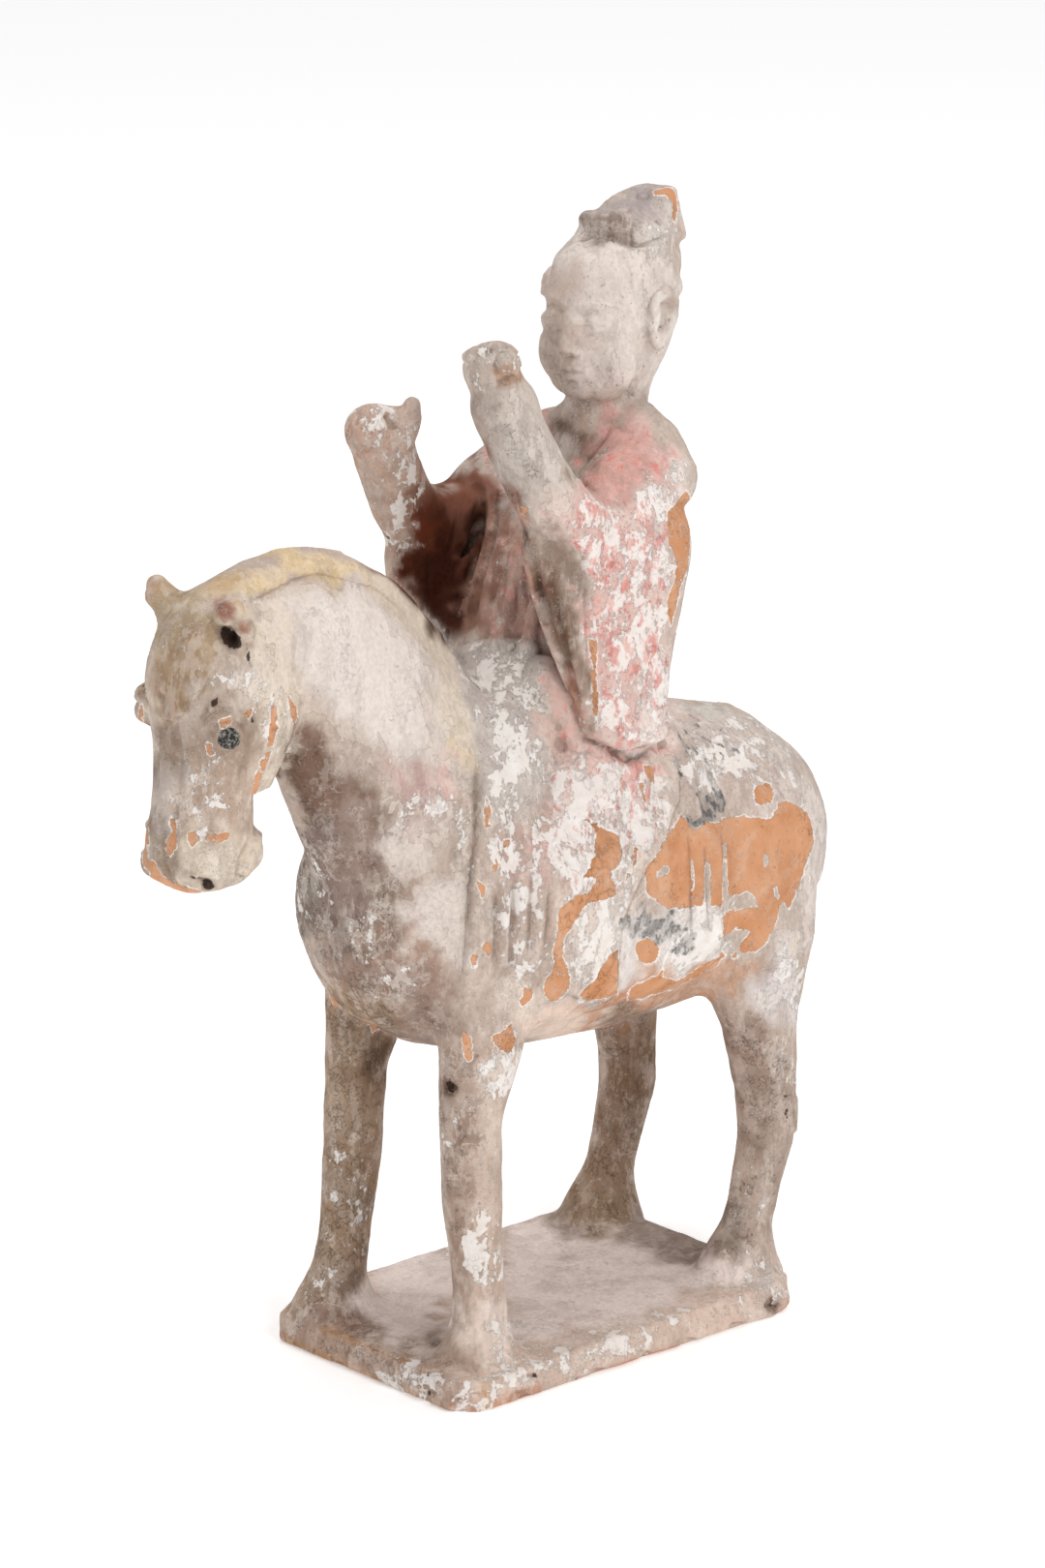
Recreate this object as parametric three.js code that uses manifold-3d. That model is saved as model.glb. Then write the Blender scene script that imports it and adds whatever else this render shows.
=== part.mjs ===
// A painted terracotta rider on a standing horse, modelled by hand and fired in one piece with the slab
// under its hoofs. Millimetres, +Z up. The horse faces -Y and its left side is +X.
// The origin is the middle of the slab's underside.
import * as THREE from "three";
import { ConvexGeometry } from "three/addons/geometries/ConvexGeometry.js";
import { mergeVertices } from "three/addons/utils/BufferGeometryUtils.js";
import Module from "manifold-3d";

const wasm = await Module();
wasm.setup();

// Driving dimensions
const SLAB = { front: -68.3, back: 73, left: 45.5, right: -48.5, thick: 10, flare: 4.5, edge: 1.2 };
const BARREL = { belly: 94.5, back: 196, halfWide: 41, chest: -80, rump: 110 };
const POLL = { y: -119, z: 262 };
const MUZZLE = { y: -130, z: 174 };
const SEAT = { y: 12, z: 196 };
const SHOULDERS = { y: 29, z: 284, halfWide: 31 };
const SKULL = { y: 35.5, chin: 299, crown: 346, halfWide: 18.5, turn: 12 };
const CAP_TOP = 360;
const CLOTH = { front: -57, back: 47, hem: 114, thick: 2.6 };
const LEG_X = 29;

const X = new THREE.Vector3(1, 0, 0);
const Y = new THREE.Vector3(0, 1, 0);
const LEFT = 1;
const RIGHT = -1;

// A closed three.js geometry as a solid that can be joined and cut.
function solid(geometry) {
  geometry.deleteAttribute("normal");
  geometry.deleteAttribute("uv");
  const merged = mergeVertices(geometry, 1e-4);
  return new wasm.Manifold(
    new wasm.Mesh({
      numProp: 3,
      vertProperties: new Float32Array(merged.attributes.position.array),
      triVerts: new Uint32Array(merged.index.array),
    }),
  );
}

// A smooth line through stations, and the ring's half sizes along it.
function flow(stations) {
  const centres = stations.map(([x, y, z]) => new THREE.Vector3(x, y, z));
  const sizes = stations.map(([, , , wide, deep]) => new THREE.Vector3(wide, deep, 0));
  return {
    line: new THREE.CatmullRomCurve3(centres, false, "centripetal"),
    size: new THREE.CatmullRomCurve3(sizes, false, "centripetal"),
  };
}

// A limb of clay swept through stations [x, y, z, half width, half depth]. Each ring stands square to the
// line, or to `facing`, its width along `side`. `square` over 2 flattens the ring's sides, and each end is
// a dome whose height is `dome` times the ring's smaller half size.
function limb(stations, options = {}) {
  const { side = X, sides = 12, square = 2, dome = [0.6, 0.6], domeRings = 1 } = options;
  const { line, size } = flow(stations);
  const heading = (t) => options.facing ?? line.getTangent(t);
  const count = stations.length - 1;
  const rings = [];
  const ring = (t, scale, lift) => {
    const along = heading(t);
    const across = side.clone().addScaledVector(along, -side.dot(along)).normalize();
    const up = new THREE.Vector3().crossVectors(across, along);
    const centre = line.getPoint(t).addScaledVector(along, lift);
    const half = size.getPoint(t);
    return Array.from({ length: sides }, (_, i) => {
      const angle = (2 * Math.PI * i) / sides;
      const [c, s] = [Math.cos(angle), Math.sin(angle)];
      const wide = half.x * Math.sign(c) * Math.abs(c) ** (2 / square) * scale;
      const deep = half.y * Math.sign(s) * Math.abs(s) ** (2 / square) * scale;
      return centre.clone().addScaledVector(across, wide).addScaledVector(up, deep);
    });
  };
  const cap = (t, height, sense) => {
    const lift = height * Math.min(size.getPoint(t).x, size.getPoint(t).y) * sense;
    const made = [];
    for (let k = 1; k <= domeRings; k++) {
      const angle = (k / (domeRings + 1)) * (Math.PI / 2);
      made.push(ring(t, Math.cos(angle), lift * Math.sin(angle)));
    }
    return { made, pole: line.getPoint(t).addScaledVector(heading(t), lift) };
  };
  const start = cap(0, dome[0], -1);
  const end = cap(1, dome[1], 1);
  rings.push(...start.made.reverse());
  for (let k = 0; k <= count; k++) rings.push(ring(k / count, 1, 0));
  rings.push(...end.made);
  const points = [start.pole, ...rings.flat(), end.pole];
  const last = points.length - 1;
  const faces = [];
  const at = (r, i) => 1 + r * sides + (i % sides);
  for (let i = 0; i < sides; i++) {
    faces.push(0, at(0, i), at(0, i + 1));
    faces.push(last, at(rings.length - 1, i + 1), at(rings.length - 1, i));
    for (let r = 0; r + 1 < rings.length; r++) {
      faces.push(at(r, i), at(r + 1, i), at(r + 1, i + 1));
      faces.push(at(r, i), at(r + 1, i + 1), at(r, i + 1));
    }
  }
  const geometry = new THREE.BufferGeometry().setFromPoints(points).setIndex(faces);
  return solid(geometry);
}

// A ball of clay with three half sizes, turned about X, Y and Z in degrees.
function ball([x, y, z], [halfX, halfY, halfZ], turn = [0, 0, 0], detail = 8) {
  const geometry = new THREE.SphereGeometry(1, detail, Math.round(detail * 0.6));
  const angles = turn.map(THREE.MathUtils.degToRad);
  const place = new THREE.Matrix4()
    .compose(
      new THREE.Vector3(x, y, z),
      new THREE.Quaternion().setFromEuler(new THREE.Euler(...angles)),
      new THREE.Vector3(halfX, halfY, halfZ),
    );
  return solid(geometry.applyMatrix4(place));
}

// A block that spans the whole width between two side outlines drawn in Y and Z.
function sidePanel(outline, reach = 80) {
  const shape = new THREE.Shape(outline.map(([y, z]) => new THREE.Vector2(y, z)));
  const geometry = new THREE.ExtrudeGeometry(shape, { depth: 2 * reach, bevelEnabled: false });
  const place = new THREE.Matrix4().makeBasis(Y, new THREE.Vector3(0, 0, 1), X);
  return solid(geometry.applyMatrix4(place.setPosition(-reach, 0, 0)));
}

const join = (pieces) => pieces.reduce((all, piece) => all.add(piece));
const mirrored = (stations) => stations.map(([x, ...rest]) => [-x, ...rest]);

// The slab, both its front corners cut off, its edges worn and its left side spread at the foot.
function slab() {
  const { front, back, left, right, thick, flare, edge } = SLAB;
  const outline = (spread, z, inset) =>
    [
      [left - 8, front],
      [left, front + 9],
      [left + 1 + spread, back - 9],
      [left - 1 + spread * 0.6, back - 1],
      [right + 4, back],
      [right, back - 4],
      [right, front + 17],
      [right + 8, front + 0.5],
    ].map(([x, y]) => new THREE.Vector3(x - Math.sign(x) * inset, y - Math.sign(y) * inset, z));
  const levels = [
    outline(flare, 0, edge),
    outline(flare, edge, 0),
    outline(0, thick - edge, 0),
    outline(0, thick, edge),
  ];
  return solid(new ConvexGeometry(levels.flat()));
}

// The barrel of the horse, from chest to rump, each station grown by `extra`.
function barrelStations(extra = 0) {
  const { belly, back, halfWide, chest, rump } = BARREL;
  const middle = (belly + back) / 2;
  const tall = (back - belly) / 2;
  const grow = ([y, z, wide, deep]) => [0, y, z, wide + extra, deep + extra];
  return [
    [chest + 13, middle + 2, halfWide * 0.7, tall * 0.66],
    [chest + 27, middle + 4, halfWide * 0.86, tall * 0.84],
    [chest + 55, middle + 1.5, halfWide, tall * 0.955],
    [(chest + rump) / 2 + 8, middle - 0.5, halfWide + 1, tall],
    [rump - 47, middle - 1.8, halfWide, tall * 0.955],
    [rump - 24, middle - 2.6, halfWide * 0.92, tall * 0.825],
    [rump - 12, middle - 4, halfWide * 0.74, tall * 0.66],
  ].map(grow);
}

// How far out the barrel's side stands at a place along it and a height.
function flank(y, z) {
  const { line, size } = flow(barrelStations());
  let t = 0.5;
  for (let step = 0.25; step > 1e-4; step /= 2) t += line.getPoint(t).y < y ? step : -step;
  const up = (z - line.getPoint(t).z) / size.getPoint(t).y;
  return size.getPoint(t).x * Math.sqrt(Math.max(0.02, 1 - up * up));
}

// The neck arches up and forward from the withers to the poll.
function neckStations(extra = 0) {
  return [
    [0, -30, 148, 34, 40],
    [0, -47, 182, 29.5, 38.5],
    [0, -65, 209, 24, 34.5],
    [0, -82, 231, 20, 28.5],
    [0, -98, 246, 17, 22],
    [0, POLL.y + 3, POLL.z - 12, 15, 16],
  ].map(([x, y, z, wide, deep]) => [x, y, z, wide + extra, deep + extra]);
}

// The long head hangs almost upright, deepest at the jaw and narrow above the muzzle.
function horseHead() {
  const { y, z } = MUZZLE;
  return limb(
    [
      [0, POLL.y - 3, POLL.z - 1, 12, 12],
      [0, POLL.y - 2.5, POLL.z - 12, 16.5, 19],
      [0, POLL.y - 2, POLL.z - 26, 18.5, 23],
      [0, POLL.y - 2.5, POLL.z - 39, 18, 22.5],
      [0, POLL.y - 6, POLL.z - 50, 15.5, 19.5],
      [0, y + 1, z + 25, 13, 17],
      [0, y, z + 12, 14.5, 18.5],
      [0, y, z + 5, 13, 15.5],
    ],
    { sides: 16, square: 2.4, dome: [0.5, 0.35], domeRings: 2 },
  );
}

// Eyes, brows, nostrils and lips, the same on both sides of the horse's head.
function horseFace(head) {
  const eye = { y: POLL.y - 15, z: POLL.z - 36 };
  const { y, z } = MUZZLE;
  let made = head;
  for (const way of [LEFT, RIGHT]) {
    const eyeball = ball([way * 15.5, eye.y, eye.z + 0.5], [5.4, 6, 5.6]);
    const brow = ball([way * 14, eye.y - 1, eye.z + 7.5], [4.5, 8, 3.4], [35, 0, 0]);
    const nostril = ball([way * 7.5, y - 10, z + 9], [5.5, 7, 7.5]);
    const pit = ball([way * 8, y - 14.5, z + 3.5], [1.6, 3, 2]);
    made = join([made, eyeball, brow, nostril]).subtract(pit);
  }
  const lip = ball([0, y + 13, z + 9], [9.5, 7, 8], [0, 0, 0], 10);
  const noseband = limb(
    [
      [0, y + 0.4, z + 17, 14.7, 18.5],
      [0, y + 0.8, z + 21, 14, 17.8],
    ],
    { sides: 16, square: 2.4, dome: [0.02, 0.02] },
  );
  return join([made, lip, noseband]);
}

// The right ear stands; the left one is broken to a stub over an open hollow.
function ears(head) {
  const root = { y: POLL.y - 8, z: POLL.z - 8 };
  const rightEar = limb(
    [
      [-12, root.y + 1, root.z - 2, 4.5, 6],
      [-15, root.y - 3, root.z + 6, 4.2, 5.2],
      [-16.5, root.y - 5, root.z + 12, 2.2, 3],
    ],
    { sides: 8 },
  );
  const stub = limb(
    [
      [12, root.y + 3, root.z - 2, 5, 6],
      [14, root.y, root.z + 5, 4.6, 5],
      [13.5, root.y - 4, root.z + 11, 3.2, 3.4],
    ],
    { sides: 8 },
  );
  const hollow = ball([16.5, root.y - 4, root.z - 2], [4, 2.4, 4.2], [20, 0, -20]);
  return join([head, rightEar, stub]).subtract(hollow);
}

// The mane lies along the crest, and its forelock falls between the eyes.
function mane() {
  const crest = limb(
    [
      [0, POLL.y - 7, POLL.z - 1, 6.5, 6],
      [0, POLL.y + 6, POLL.z + 1, 6.5, 8],
      [0, -97, 264, 6.5, 8.5],
      [0, -78, 259, 7, 8.5],
      [0, -61, 248, 7, 8.5],
      [0, -45, 232, 7.5, 8.5],
      [0, -33, 214, 8, 8],
      [0, -27, 200, 7, 7],
    ],
    { sides: 10, square: 2.6 },
  );
  const forelock = limb(
    [
      [0, POLL.y - 9, POLL.z - 1, 6, 4],
      [0, POLL.y - 17, POLL.z - 7, 9.5, 4.5],
      [0, POLL.y - 20, POLL.z - 17, 10.5, 4],
      [0, POLL.y - 21.5, POLL.z - 27, 7.5, 3.6],
      [0, POLL.y - 22.5, POLL.z - 34, 3.5, 3],
    ],
    { sides: 10, square: 2.4 },
  );
  return crest.add(forelock);
}

// Four legs, thick as rolled clay, each spreading into the slab where its hoof was pressed down.
function legs() {
  const foot = SLAB.thick;
  const foreleg = (x, lean, spread) => [
    [x * 0.8, -38, 142, 14, 24],
    [x * 0.95, -43 + lean[0], 110, 12, 15],
    [x, -47 + lean[1], 88, 9.6, 10.4],
    [x, -46.5 + lean[2], 60, 9.2, 9.7],
    [x, -45 + lean[3], 36, 8.2, 8.4],
    [x, -45 + lean[4], foot + 12, 8.8, 9.2],
    [x, -46 + lean[4], foot + 3, 12 + spread, 12.5 + spread],
    [x, -46 + lean[4], foot - 3, 13.5 + spread, 14.5 + spread],
  ];
  const hindLeg = (x, lean) => [
    [x * 0.8, 68, 142, 17, 32.5],
    [x * 0.92, 71.5, 116, 15, 24.5],
    [x, 72 + lean, 92, 11.5, 13.5],
    [x, 75 + lean, 68, 9.8, 10.2],
    [x, 75.5 + lean, 53, 9.2, 9.6],
    [x, 70.5 + lean, 36, 8, 8.2],
    [x, 67.5, foot + 15, 7.8, 8.4],
    [x, 64.5, foot + 5, 11.5, 13],
    [x, 64, foot - 3, 13.5, 18],
  ];
  const cut = { sides: 10, dome: [0.8, 0.05] };
  return join([
    limb(foreleg(LEG_X - 1, [0, -1.5, -1.5, -0.5, 0.5], 0), cut),
    limb(foreleg(-LEG_X - 2.5, [4, 4.5, 2, -2.5, -5.5], 1.5), cut),
    limb(hindLeg(LEG_X + 1, 0), cut),
    limb(hindLeg(-LEG_X - 5, 0), cut),
  ]);
}

// The tail hangs close against the hind quarters.
function tail() {
  return limb(
    [
      [0, BARREL.rump - 14, 169, 6, 6],
      [0, BARREL.rump - 1, 152, 6.5, 7],
      [0, BARREL.rump + 5.5, 128, 6.5, 6.5],
      [0, BARREL.rump + 4, 102, 6, 5.5],
      [0, BARREL.rump, 84, 4.5, 4],
    ],
    { sides: 8 },
  );
}

// A ridge of cloth that runs down the flank from one height to another, proud of it by `rise`.
function flankFold(way, [fromY, fromZ], [toY, toZ], rise, halfWide) {
  const stations = [0, 0.5, 1].map((t) => {
    const y = THREE.MathUtils.lerp(fromY, toY, t);
    const z = THREE.MathUtils.lerp(fromZ, toZ, t);
    const swell = 0.6 + 0.4 * Math.sin(Math.PI * Math.min(1, t + 0.3));
    return [way * (flank(y, z) + rise - 1.5), y, z, 3, halfWide * swell];
  });
  return limb(stations, { sides: 6, dome: [1, 0.6], domeRings: 0 });
}

// The saddle cloth covers the withers, back and both flanks, pleated at its front and rear edges.
function saddleCloth() {
  const { front, back, hem, thick } = CLOTH;
  const over = limb(barrelStations(thick), { sides: 20 });
  const withers = limb(neckStations(thick * 0.8).slice(0, 3), { sides: 14, dome: [0.3, 0.1] });
  const outline = [
    [front + 1, hem + 4],
    [front, 135],
    [front + 1, 155],
    [front + 5.5, 172],
    [front + 9.5, 194],
    [front + 16, 205],
    [front + 20, 224],
    [back - 4, 224],
    [back, 160],
    [back - 4, hem + 8],
    [back - 40, hem - 1],
    [front + 30, hem - 3],
  ];
  const pieces = [over.add(withers).intersect(sidePanel(outline))];
  for (const way of [LEFT, RIGHT]) {
    for (const [y, top] of [[-44, 170], [-37, 166], [-30, 162]]) {
      pieces.push(flankFold(way, [y, top], [y - 1, hem + 8], thick + 1.4, 2.6));
    }
    for (const [y, top] of [[35, 176], [40, 166], [45, 157]]) {
      pieces.push(flankFold(way, [y, top], [y - 3, hem + 14], thick + 0.8, 1.6));
    }
  }
  return join(pieces);
}

// The saddle's two arches, flat as folded felt: the front one high over the withers, the rear one low.
function saddle() {
  const front = [
    [12, -14, 216, 13, 6.5],
    [21, -22, 206, 14, 6.5],
    [27, -30, 190, 14, 6],
    [32, -37, 172, 13, 4.5],
    [36, -41, 152, 11, 2.6],
  ];
  const rear = [
    [17, 38, 195, 9, 5],
    [29, 38, 184, 9, 4.5],
    [37, 36, 166, 8, 3],
  ];
  const arch = (half, top) => {
    const stations = [...mirrored(half).reverse(), top, ...half];
    return limb(stations, { side: Y, sides: 10, dome: [1, 1] });
  };
  return arch(front, [0, -12, 219, 12, 6.5]).add(arch(rear, [0, 38, 199, 9, 5]));
}

// The robe's skirt spreads over the saddle and falls over each thigh, as a flap slanting forward.
function skirt() {
  const over = limb(barrelStations(CLOTH.thick + 2.6), { sides: 20 });
  const outline = [
    [-22, 215],
    [32, 215],
    [27, 178],
    [15, 160],
    [7, 147],
    [1, 131],
    [0, 121],
    [-20, 117],
    [-36, 122],
    [-38, 150],
    [-35, 172],
    [-27, 195],
  ];
  const lap = limb(
    [
      [0, SEAT.y - 1, SEAT.z - 20, 37, 27],
      [0, SEAT.y, SEAT.z, 36, 29],
      [0, SEAT.y + 1, SEAT.z + 14, 31, 26],
      [0, SEAT.y + 3, SEAT.z + 30, 26, 23],
    ],
    { sides: 14, dome: [0.5, 0.2] },
  );
  const thighs = [LEFT, RIGHT].map((way) =>
    ball([way * 28, SEAT.y - 10, SEAT.z - 18], [13, 22, 26], [-25, 0, 0], 10),
  );
  return join([over.intersect(sidePanel(outline)), lap, ...thighs]);
}

// The upper body leans back a little, and the robe crosses to a V at the neck.
function torso() {
  const { y, z, halfWide } = SHOULDERS;
  const body = limb(
    [
      [0, SEAT.y + 2, SEAT.z + 20, 27, 25],
      [0, SEAT.y + 4, SEAT.z + 38, 26, 21.5],
      [0, y - 9, z - 36, 27, 20],
      [0, y - 3, z - 18, halfWide - 3, 17.5],
      [0, y + 1.5, z - 4, halfWide - 4.5, 14.5],
      [0, y + 3.5, z + 5, halfWide - 12, 12],
    ],
    { sides: 16, square: 2.2, dome: [0.2, 0.4] },
  );
  const throat = limb(
    [
      [0, y + 2, z - 6, 13.5, 13.5],
      [0, y + 4, z + 6, 12.5, 13],
      [0, y + 5.5, z + 18, 12.5, 13.5],
    ],
    { sides: 14 },
  );
  const collars = [LEFT, RIGHT].map((way) =>
    limb(
      [
        [way * 12, y + 11, z + 2, 2.6, 4],
        [way * 15, y, z + 2, 2.6, 4],
        [way * 10, y - 10, z - 7, 2.4, 3.6],
        [way * 1, y - 18, z - 22, 2, 3],
      ],
      { sides: 6 },
    ),
  );
  return join([body, throat, ...collars]);
}

// An arm held out from the shoulder, its forearm raised to a closed fist.
function arms() {
  const bend = { side: Y, sides: 10 };
  const left = limb(
    [
      [24, 29.5, 275.8, 14, 13.6],
      [29, 9, 271, 13.2, 12.6],
      [32, -9, 268, 12.5, 12],
      [30, -19.5, 280, 11, 11],
      [25.5, -26.5, 297, 10.2, 10.2],
      [21, -30, 312, 9.6, 9.6],
    ],
    bend,
  );
  const leftFist = ball([19, -31.5, 320], [8.6, 9.6, 8.2], [20, 0, 0], 12);
  const cuff = limb([[23, -28, 304, 10.6, 10.6], [21, -29.6, 312, 10.5, 10.5]], {
    ...bend,
    dome: [0.1, 0.05],
  });
  const right = limb(
    [
      [-24, 27, 273, 13, 12.5],
      [-27, 4, 263, 12, 11.5],
      [-29, -17, 256, 12, 11.5],
      [-27.5, -25, 266, 10.5, 10.5],
      [-26, -31, 277, 10, 10],
      [-25.5, -36, 287, 9.6, 9.6],
    ],
    bend,
  );
  const rightFist = ball([-26, -39.5, 293], [8.6, 9.2, 8.6], [0, 0, 0], 12);
  const thumb = limb([[-22, -33, 288, 5, 6], [-20, -30.5, 298, 4, 4.4]], { sides: 8 });
  return join([left, leftFist, cuff, right, rightFist, thumb]);
}

// A wide sleeve hangs from each arm to the saddle as a flat fold of cloth, turned in at its front.
function sleeves() {
  const hang = (way, stations) => {
    const side = new THREE.Vector3(way, -0.16, 0);
    return limb(stations, { side, sides: 14, square: 2.4, dome: [0.4, 0.12] });
  };
  const left = hang(LEFT, [
    [31, 7.5, 270, 10.5, 26],
    [34.5, 5, 256, 9.5, 27.5],
    [35, 5.8, 238, 8, 22.8],
    [36.5, 6, 217, 7.5, 17],
    [38.5, 6.5, 200, 7, 12.5],
  ]);
  const right = hang(RIGHT, [
    [-29, 0, 263, 9, 26],
    [-32, -5, 248, 9, 27],
    [-34, -4, 226, 8, 22],
    [-36, 3, 203, 7, 15.5],
  ]);
  const frontFold = limb(
    [
      [29, -22, 266, 6, 6],
      [28.5, -17, 246, 5, 5],
      [31, -10, 225, 4.5, 4.5],
      [35, -5, 207, 4, 4],
    ],
    { sides: 8 },
  );
  return join([left, right, frontFold]);
}

// The chest of the robe falls from the arms in long folds that spread towards the saddle.
function robeFolds() {
  const folds = [
    [[-12, 6, 268], [-17, -8, 246], [-21, -17, 226]],
    [[-5, 5, 268], [-9, -9, 246], [-13, -18, 224]],
    [[2, 4, 267], [-2, -9, 246], [-5, -18, 223]],
    [[9, 3, 265], [5, -9, 244], [3, -16, 223]],
    [[16, 0, 264], [14, -8, 243], [13, -13, 222]],
  ];
  return join(
    folds.map((points) =>
      limb(
        points.map(([x, y, z], i) => [x, y, z, 2.4 + 0.5 * i, 3.4]),
        { sides: 6, domeRings: 0 },
      ),
    ),
  );
}

// Stations of the rider's head, which is turned a little to the left on its neck.
function onHead(stations) {
  const neck = new THREE.Vector2(0, SKULL.y);
  return stations.map(([x, y, ...rest]) => {
    const place = new THREE.Vector2(x, y).rotateAround(neck, THREE.MathUtils.degToRad(SKULL.turn));
    return [place.x, place.y, ...rest];
  });
}

// The rider's head: an even oval face, long ears and eyes half way down.
function riderHead() {
  const { y, chin, crown, halfWide, turn } = SKULL;
  const side = X.clone().applyAxisAngle(new THREE.Vector3(0, 0, 1), THREE.MathUtils.degToRad(turn));
  const skull = limb(
    onHead([
      [0, y - 8, chin + 2, 10, 10.5],
      [0, y - 3.5, chin + 9, 15.5, 18.5],
      [0, y - 0.5, chin + 18, 18, 22.5],
      [0, y + 1, chin + 29, halfWide, 24],
      [0, y + 2, crown - 8, halfWide - 1.5, 22.5],
      [0, y + 3, crown - 2.5, 12.5, 16],
    ]),
    { side, sides: 16, dome: [0.4, 0.3], domeRings: 2 },
  );
  const front = y - 23;
  const nose = limb(
    onHead([
      [0, front + 2.5, chin + 26, 2, 2.4],
      [0, front + 0.8, chin + 22, 2.4, 2.8],
      [0, front + 0.2, chin + 18.6, 3.2, 3],
    ]),
    { side, sides: 8 },
  );
  const ballOnHead = (place, sizes, slant = 0) =>
    ball(onHead([place])[0], sizes, [0, 0, turn + slant]);
  const lips = ballOnHead([0, front + 4, chin + 12.2], [5, 3, 2.2]);
  const chinBall = ballOnHead([0, front + 7.5, chin + 5], [6.5, 5, 4.5]);
  const parts = [skull, nose, lips, chinBall];
  for (const way of [LEFT, RIGHT]) {
    const ear = onHead([
      [way * (halfWide - 0.6), y + 0.5, chin + 13, 2, 3],
      [way * (halfWide + 0.4), y + 1.5, chin + 20, 2.2, 4.4],
      [way * halfWide, y + 2, chin + 28, 2.2, 4.8],
    ]);
    const eye = ballOnHead([way * 7.5, front + 3.6, chin + 24], [4.4, 2.6, 2], way * 18);
    parts.push(eye, limb(ear, { side, sides: 8, dome: [1, 1] }));
  }
  return join(parts);
}

// The cap sits tilted on the back of the crown, a rolled rim round a folded peak, over a knot of hair.
function cap() {
  const { y, crown } = SKULL;
  const facing = new THREE.Vector3(0, 0.14, 1).normalize();
  const peak = limb(
    [
      [0, y + 7, crown - 1, 13, 13.5],
      [0, y + 9.5, crown + 4, 11.6, 12],
      [0, y + 13.5, crown + 9, 9.4, 9.6],
      [0, y + 17, CAP_TOP - 3, 7.2, 7.8],
    ],
    { facing, sides: 14, square: 2.6, dome: [0.2, 0.12] },
  );
  const rim = limb(
    [
      [0, y + 4.7, crown - 5, 14.6, 13.7],
      [0, y + 5.2, crown + 1.5, 14.8, 13.9],
    ],
    { facing, sides: 16, square: 2.2, dome: [0.12, 0.12] },
  );
  const knot = limb(
    [
      [0, y + 19, crown - 5, 9, 5],
      [0, y + 21.5, crown - 12, 8, 5],
      [0, y + 20.5, crown - 20, 6, 4],
    ],
    { sides: 8 },
  );
  return join([peak, rim, knot]);
}

function horse() {
  const barrel = limb(barrelStations(), { sides: 20, dome: [0.42, 0.5], domeRings: 2 });
  const neck = limb(neckStations(), { sides: 14 });
  return join([barrel, neck, ears(horseFace(horseHead())), mane(), legs(), tail()]);
}

function rider() {
  return join([skirt(), torso(), arms(), sleeves(), robeFolds(), riderHead(), cap()]);
}

// The solid's outer skin as a three.js geometry, with no hollow left sealed inside.
function geometryOf(body) {
  const skins = body.decompose().sort((a, b) => b.volume() - a.volume());
  const { vertProperties, triVerts } = skins[0].getMesh();
  const geometry = new THREE.BufferGeometry();
  geometry.setAttribute("position", new THREE.BufferAttribute(vertProperties, 3));
  geometry.setIndex(new THREE.BufferAttribute(triVerts, 1));
  geometry.computeVertexNormals();
  return geometry;
}

const figure = join([slab(), horse(), saddleCloth(), saddle(), rider()]);

const terracotta = new THREE.MeshStandardMaterial({
  name: "painted_terracotta",
  color: new THREE.Color().setRGB(0.78, 0.68, 0.62, THREE.SRGBColorSpace),
  roughness: 0.9,
  metalness: 0,
});

const group = new THREE.Group();
const mesh = new THREE.Mesh(geometryOf(figure), terracotta);
mesh.name = "horse_and_rider";
group.add(mesh);

export default group;
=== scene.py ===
import math

import bmesh
import bpy
import numpy as np
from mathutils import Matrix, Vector


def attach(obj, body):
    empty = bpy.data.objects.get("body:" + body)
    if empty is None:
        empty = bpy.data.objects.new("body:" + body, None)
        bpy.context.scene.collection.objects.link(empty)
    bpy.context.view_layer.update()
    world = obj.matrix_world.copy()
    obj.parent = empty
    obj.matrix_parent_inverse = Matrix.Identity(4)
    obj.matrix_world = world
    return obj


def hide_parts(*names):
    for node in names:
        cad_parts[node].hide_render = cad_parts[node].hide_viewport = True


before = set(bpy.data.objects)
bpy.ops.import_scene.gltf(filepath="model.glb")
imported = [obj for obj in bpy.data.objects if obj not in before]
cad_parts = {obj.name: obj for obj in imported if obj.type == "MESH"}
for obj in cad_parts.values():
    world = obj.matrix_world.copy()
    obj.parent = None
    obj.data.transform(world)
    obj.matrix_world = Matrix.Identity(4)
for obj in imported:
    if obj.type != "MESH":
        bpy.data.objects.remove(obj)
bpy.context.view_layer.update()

# The figure stands on a plain pale floor under three wide soft lamps. It is seen from its left front and
# a little from above, through a long lens.
aim = Vector((-0.0007, -0.0007, 0.178))
turned = math.radians(47.5)
raised = math.radians(18)
distance = 2.5
to_viewer = Vector(
    (math.sin(turned) * math.cos(raised), -math.cos(turned) * math.cos(raised), math.sin(raised))
)
bpy.ops.object.camera_add(location=aim + to_viewer * distance)
camera = bpy.context.object
camera.rotation_euler = to_viewer.to_track_quat("Z", "Y").to_euler()
camera.data.sensor_fit = "VERTICAL"
camera.data.sensor_height = 36
camera.data.lens = 186.67
camera.data.clip_end = 60
bpy.context.scene.camera = camera
bpy.context.scene.view_settings.view_transform = "Standard"


def colour(code):
    """A colour written as six hex digits, as the shader's linear values."""
    parts = [int(code[i : i + 2], 16) / 255 for i in (0, 2, 4)]
    return [p / 12.92 if p <= 0.04045 else ((p + 0.055) / 1.055) ** 2.4 for p in parts] + [1]


def softbox(name, place, size, power):
    """A square soft lamp that shines at the figure."""
    bpy.ops.object.light_add(type="AREA", location=place)
    lamp = bpy.context.object
    lamp.name = name
    lamp.rotation_euler = (lamp.location - aim).to_track_quat("Z", "Y").to_euler()
    lamp.data.size = size
    lamp.data.energy = power


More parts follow.
